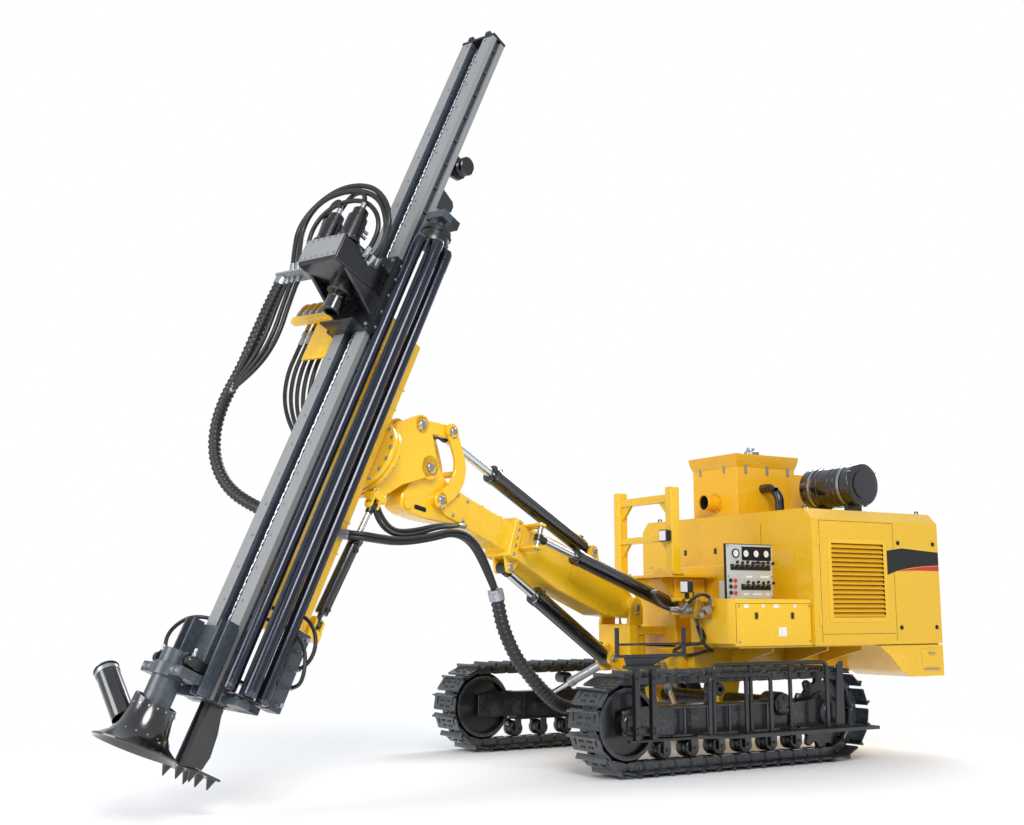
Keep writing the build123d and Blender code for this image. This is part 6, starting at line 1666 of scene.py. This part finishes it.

# %% [markdown]
# ## Hoses
# A drill rig is full of hoses. Each one is a fixed length of rubber that is held at both ends by a fitting
# and hangs in a smooth curve between them. The route is a NURBS spline through a few given control
# points, and the skin is a tube that follows it; the thick ones get the spiral wrap that protects a bundle
# from chafing.

# %% The line and the skin of a hose
def smooth_line(points, where):
    """The points of a NURBS curve through control points given in millimetres of a place."""
    curve = bpy.data.curves.new("route", "CURVE")
    curve.dimensions = "3D"
    spline = curve.splines.new("NURBS")
    spline.points.add(len(points) - 1)
    for point, target in zip(points, spline.points):
        target.co = (*(where @ Vector(point)), 1)
    spline.order_u = 3
    spline.use_endpoint_u = True
    spline.resolution_u = 24
    holder = bpy.data.objects.new("route", curve)
    data = bpy.data.meshes.new_from_object(holder)
    line = [vert.co.copy() for vert in data.vertices]
    bpy.data.objects.remove(holder)
    bpy.data.curves.remove(curve)
    bpy.data.meshes.remove(data)
    return line


def skin(mesh, line, radius, rib=0.0, pitch=0.03, sides=14):
    """A closed tube along a line; rib raises it in a spiral wrap that repeats at each pitch."""
    reach = [0.0]
    for first, second in zip(line, line[1:]):
        reach.append(reach[-1] + (second - first).length)
    count = max(4, int(reach[-1] / (pitch / 4 if rib else 0.02)))
    frame_up, rings, index = Vector((0.3, 0.2, 0.93)), [], 0
    for number in range(count + 1):
        wanted = reach[-1] * number / count
        while index < len(line) - 2 and reach[index + 1] < wanted:
            index += 1
        way = line[index + 1] - line[index]
        spot = line[index] + way * ((wanted - reach[index]) / way.length)
        tangent = way.normalized()
        frame_up = (frame_up - tangent * frame_up.dot(tangent)).normalized()
        across = tangent.cross(frame_up)
        ring = []
        for corner in range(sides):
            a = math.tau * corner / sides
            swell = rib * max(0.0, math.sin(math.tau * wanted / pitch + a)) ** 0.5
            ring.append(mesh.verts.new(spot + (frame_up * math.cos(a) + across * math.sin(a))
                * (radius - rib + swell)))
        rings.append(ring)
    for low, high in zip(rings, rings[1:]):
        for corner in range(sides):
            mesh.faces.new([low[corner - 1], low[corner], high[corner], high[corner - 1]])
    mesh.faces.new(rings[0][::-1])
    mesh.faces.new(rings[-1])
    return reach[-1]


def hose(name, where, body, radius, points, rib=0.0, pitch=0.03, metal=0.0):
    """One hose with its skin; it yields each end and the way inward, where a crimped fitting goes."""
    line = smooth_line(points, where)
    mesh = bmesh.new()
    length = skin(mesh, line, radius * MM, rib * MM, pitch)
    bmesh.ops.recalc_face_normals(mesh, faces=mesh.faces[:])
    data = bpy.data.meshes.new(name)
    mesh.to_mesh(data)
    mesh.free()
    data.materials.append(FINISHES["rubber"])
    data.materials.append(FINISHES["brass"])
    data.polygons.foreach_set("use_smooth", [True] * len(data.polygons))
    for face in data.polygons:
        face.material_index = int(face.index < metal * len(data.polygons))
    piece = bpy.data.objects.new(name, data)
    bpy.context.scene.collection.objects.link(piece)
    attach(piece, body)
    tuple(line[0])
    2 * radius * MM
    [tuple(spot) for spot in line]
    back = where.inverted()
    for spot, inner in ((line[0], line[2]), (line[-1], line[-3])):
        yield back @ spot, ((back @ inner) - (back @ spot)).normalized()


def hoses(name, where, body, table, couplings="steel", metal=0.0):
    """A group of hoses on one body, with their fittings as one more piece."""
    kit = Kit(name + "_fittings", where, body)
    for number, (radius, rib, pitch, points) in enumerate(table):
        for end, inward in hose(f"{name}_{number + 1}", where, body, radius, points, rib, pitch, metal):
            bar(kit[couplings], end - inward * 6, end + inward * 46, radius + 3.5, sides=20, soft=2)
            bar(kit[couplings], end - inward * 26, end - inward * 4, radius + 5, sides=6, soft=1)
    kit.done()


# %% Hoses of the rotary head, in its own frame of the mast
HEAD_LOOPS = [
    (17, 0, 0.03, [(250, -450, 640), (270, -470, 730), (300, -545, 980), (350, -380, 1110),
        (360, -70, 1120), (330, 185, 1035), (280, 300, 860), (220, 290, 720), (200, 190, 640)]),
    (17, 0, 0.03, [(250, -500, 640), (270, -520, 720), (300, -600, 1000), (345, -300, 1180),
        (340, 60, 1150), (310, 300, 960), (250, 335, 760), (160, 195, 650)]),
    (15, 0, 0.03, [(250, -400, 640), (270, -410, 745), (300, -425, 960), (350, -200, 1040), (340, 60, 1030),
        (310, 235, 900), (270, 260, 760), (250, 190, 660)]),
    (15, 0, 0.03, [(355, -112, 925), (355, -112, 985), (340, -200, 1080), (300, -330, 1060),
        (260, -350, 800), (240, -350, 640)]),
    (15, 0, 0.03, [(355, 112, 925), (355, 112, 985), (340, 20, 1100), (310, -160, 1120), (260, -290, 900),
        (230, -300, 640)])]
hoses("head_hose", MAST, "sled", HEAD_LOOPS)
PLATE_HOSES = [
    (42, 7, 0.034, [(235, -590, 590), (238, -600, 480), (225, -610, 145), (170, -690, -40),
        (100, -845, -210), (20, -925, -390), (-60, -885, -580), (-150, -745, -725), (-240, -520, -800),
                    (-310, -300, -835), (-345, -138, -845)]),
    (15, 0, 0.03, [(235, -530, 590), (240, -520, 430), (225, -500, 130), (190, -600, -50),
        (137, -768, -135)]),
    (15, 0, 0.03, [(235, -480, 590), (240, -455, 420), (220, -430, 125), (180, -575, -60),
        (132, -775, -150)]),
    (15, 0, 0.03, [(235, -420, 590), (240, -395, 410), (215, -375, 115), (165, -550, -70),
        (127, -785, -165)])]
hoses("feed_hose", MAST, "sled", PLATE_HOSES)

# %% Pipes and hoses of the manifold on the carriage
MANIFOLD_HOSES = []
for number in range(6):
    u, last = -670 + 68 * number, -430 - 18 * number
    MANIFOLD_HOSES.append((14, 0, 0.03, [(-35, u, 485), (-35, u, 545), (-60, u, 610), (-115, u, 620),
        (-135, u, 540), (-135, u, 420), (-135, u, 300), (-140, u * 0.98 - 20, 120),
                                        (-170, u * 0.9 - 20, -80), (-220, u * 0.7 - 20, -260),
                                            (-290, u * 0.45 - 20, last + 40), (-345, -135, last)]))
hoses("manifold_hose", MAST, "carrier", MANIFOLD_HOSES, metal=0.22)
crimps = Kit("manifold_crimps", MAST, "carrier")
for number in range(6):
    fitting(crimps["steel"], (-135, -670 + 68 * number, 440), (0, 0, -1), 19, 100)
crimps.done()

# %% The bundle from the mast to the boom and down between the tracks
BUNDLE = []
for number in range(6):
    y, z = 14 * (number % 3), 26 * (number // 3)
    BUNDLE.append((14, 0, 0.03, [(2937, 104 + y * 0.5, -552 + z), (2870, 190 + y, -540 + z),
        (2760, 200 + y, -515 + z), (2545, 185 + y, -455 + z), (2315, 180 + y, -340 + z),
                                (2105, 168 + y, -215 + z), (1925, 160 + y, -205 + z),
                                    (1750, 160 + y, -310 + z), (1590, 170 + y * 0.5, -450 + z * 0.5)]))
BUNDLE += [(14, 0, 0.03, [(2775, 107, -215), (2800, 160, -290), (2740, 180, -390), (2600, 175, -420),
    (2420, 165, -350), (2225, 158, -220), (2060, 130, -150), (1985, 99, -108)]),
           (14, 0, 0.03, [(2762, 107, -195), (2770, 150, -270), (2700, 160, -350), (2580, 155, -385),
               (2420, 145, -320), (2225, 140, -205), (2060, 120, -140), (1960, 98, -106)]),
           (48, 8, 0.036, [(1600, 178, -440), (1560, 180, -500), (1485, 200, -640), (1345, 240, -795),
               (1160, 300, -915), (900, 300, -985), (627, 254, -927), (233, 207, -732),
                           (-95, 191, -538), (-418, 256, -367)])]
hoses("boom_hose", BOOM, "boom", BUNDLE)

# %% Short hoses beside the console and under the valve block
MACHINE_HOSES = [
    (14, 0, 0.03, [(216, 665, 1085), (290, 650, 1090), (330, 600, 1150), (330, 540, 1210),
        (270, 500, 1215)]),
    (12, 0, 0.03, [(40, 845, 1140), (60, 870, 1180), (140, 860, 1200), (190, 800, 1150), (200, 750, 1100)]),
    (13, 0, 0.03, [(-30, 640, 1010), (-20, 720, 900), (60, 760, 840), (150, 720, 850), (150, 560, 800),
        (60, 440, 770), (-60, 362, 770)]),
    (13, 0, 0.03, [(20, 660, 1010), (40, 730, 870), (-20, 770, 790), (-100, 700, 800), (-130, 560, 780),
        (-90, 440, 750), (-92, 362, 745)])]
hoses("valve_hose", MACHINE, "chassis", MACHINE_HOSES)
FOOT_HOSES = [
    (11, 0, 0.03, [(-298, 352, -1750), (-298, 430, -1740), (-290, 480, -1640), (-270, 430, -1520),
        (-240, 300, -1450), (-180, 180, -1460), (-130, 110, -1470)]),
    (11, 0, 0.03, [(-298, 352, -1850), (-298, 440, -1850), (-270, 490, -1780), (-250, 440, -1640),
        (-240, 300, -1560), (-190, 180, -1530), (-130, 90, -1530)]),
    (11, 0, 0.03, [(170, -127, -1886), (170, -180, -1850), (140, -240, -1750), (60, -255, -1640),
        (-20, -215, -1600), (-60, -157, -1600)])]
hoses("foot_hose", MAST, "mast", FOOT_HOSES)

# %% [markdown]
# ## Floor and light
# The rig stands in a pale studio. The floor is a large plain plane that keeps the rig's shadow, and the sky
# is an even soft light, so that glossy paint has something broad to mirror. Three large lamps give the
# modelling: a warm key from the front left, a fill from the right and a rim from behind.

# %% Floor, world and lamps
ground = bmesh.new()
bmesh.ops.create_grid(ground, x_segments=1, y_segments=1, size=60.0)
ground_mesh = bpy.data.meshes.new("floor")
ground.to_mesh(ground_mesh)
ground.free()
floor = bpy.data.objects.new("floor", ground_mesh)
bpy.context.scene.collection.objects.link(floor)
floor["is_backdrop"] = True
floor_paint = bpy.data.materials.new("floor_paint")
floor_paint.use_nodes = True
tree = floor_paint.node_tree
shader = tree.nodes["Principled BSDF"]
shader.inputs["Base Color"].default_value = [0.90, 0.90, 0.90, 1.0]
shader.inputs["Roughness"].default_value = 0.75
shader.inputs["Specular IOR Level"].default_value = 0.2
glow = add(tree, "ShaderNodeEmission")
spot = add(tree, "ShaderNodeTexCoord")
reach = add(tree, "ShaderNodeVectorMath", operation="LENGTH")
tree.links.new(spot.outputs["Object"], reach.inputs[0])
seen = add(tree, "ShaderNodeLightPath")
far = math_node(tree, "MULTIPLY", ramp(tree, reach.outputs["Value"], 2.2, 5.0),
    seen.outputs["Is Camera Ray"])
fade = add(tree, "ShaderNodeMixShader")
tree.links.new(far, fade.inputs[0])
tree.links.new(shader.outputs[0], fade.inputs[1])
tree.links.new(glow.outputs[0], fade.inputs[2])
tree.links.new(fade.outputs[0], tree.nodes["Material Output"].inputs["Surface"])
floor_mesh = floor.data
floor_mesh.materials.append(floor_paint)

world = bpy.data.worlds.new("studio")
bpy.context.scene.world = world
world.use_nodes = True
tree = world.node_tree
sky = tree.nodes["Background"]
sky.inputs["Color"].default_value = [0.80, 0.84, 0.90, 1.0]
sky.inputs["Strength"].default_value = 0.75
white = add(tree, "ShaderNodeBackground")
white.inputs["Color"].default_value = [1.0, 1.0, 1.0, 1.0]
white.inputs["Strength"].default_value = 1.0
rays = add(tree, "ShaderNodeLightPath")
blend_sky = add(tree, "ShaderNodeMixShader")
tree.links.new(rays.outputs["Is Camera Ray"], blend_sky.inputs[0])
tree.links.new(sky.outputs[0], blend_sky.inputs[1])
tree.links.new(white.outputs[0], blend_sky.inputs[2])
tree.links.new(blend_sky.outputs[0], tree.nodes["World Output"].inputs["Surface"])
bpy.context.scene.view_settings.view_transform = "Standard"


def lamp_area(name, where, aim, size, power, colour=(1.0, 1.0, 1.0)):
    """A large soft lamp that looks at a point."""
    data = bpy.data.lights.new(name, "AREA")
    data.shape = "DISK"
    data.size = size
    data.energy = power
    data.color = colour
    lamp_object = bpy.data.objects.new(name, data)
    bpy.context.scene.collection.objects.link(lamp_object)
    where, aim = Vector(where), Vector(aim)
    lamp_object.matrix_world = Matrix.Translation(where) @ (aim - where).to_track_quat("-Z",
        "Y").to_matrix().to_4x4()


lamp_area("key", (4.5, 9.0, 7.5), (0, 0, 1.5), 5.0, 850.0, (1.0, 0.985, 0.965))
lamp_area("fill", (9.5, 0.5, 3.5), (0.5, 0, 2.0), 5.0, 350.0)
lamp_area("rim", (-7.5, -3.5, 7.0), (0, 0, 1.5), 5.0, 500.0, (0.94, 0.97, 1.0))

# %% [markdown]
# ## Last look
# The size of the dressed rig is printed, to stand beside the size of its solids printed at the start.

# %% Size and finish
dressed_box = [list(corner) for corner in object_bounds()]
print("dressed reach from", dressed_box[0], "to", dressed_box[1])
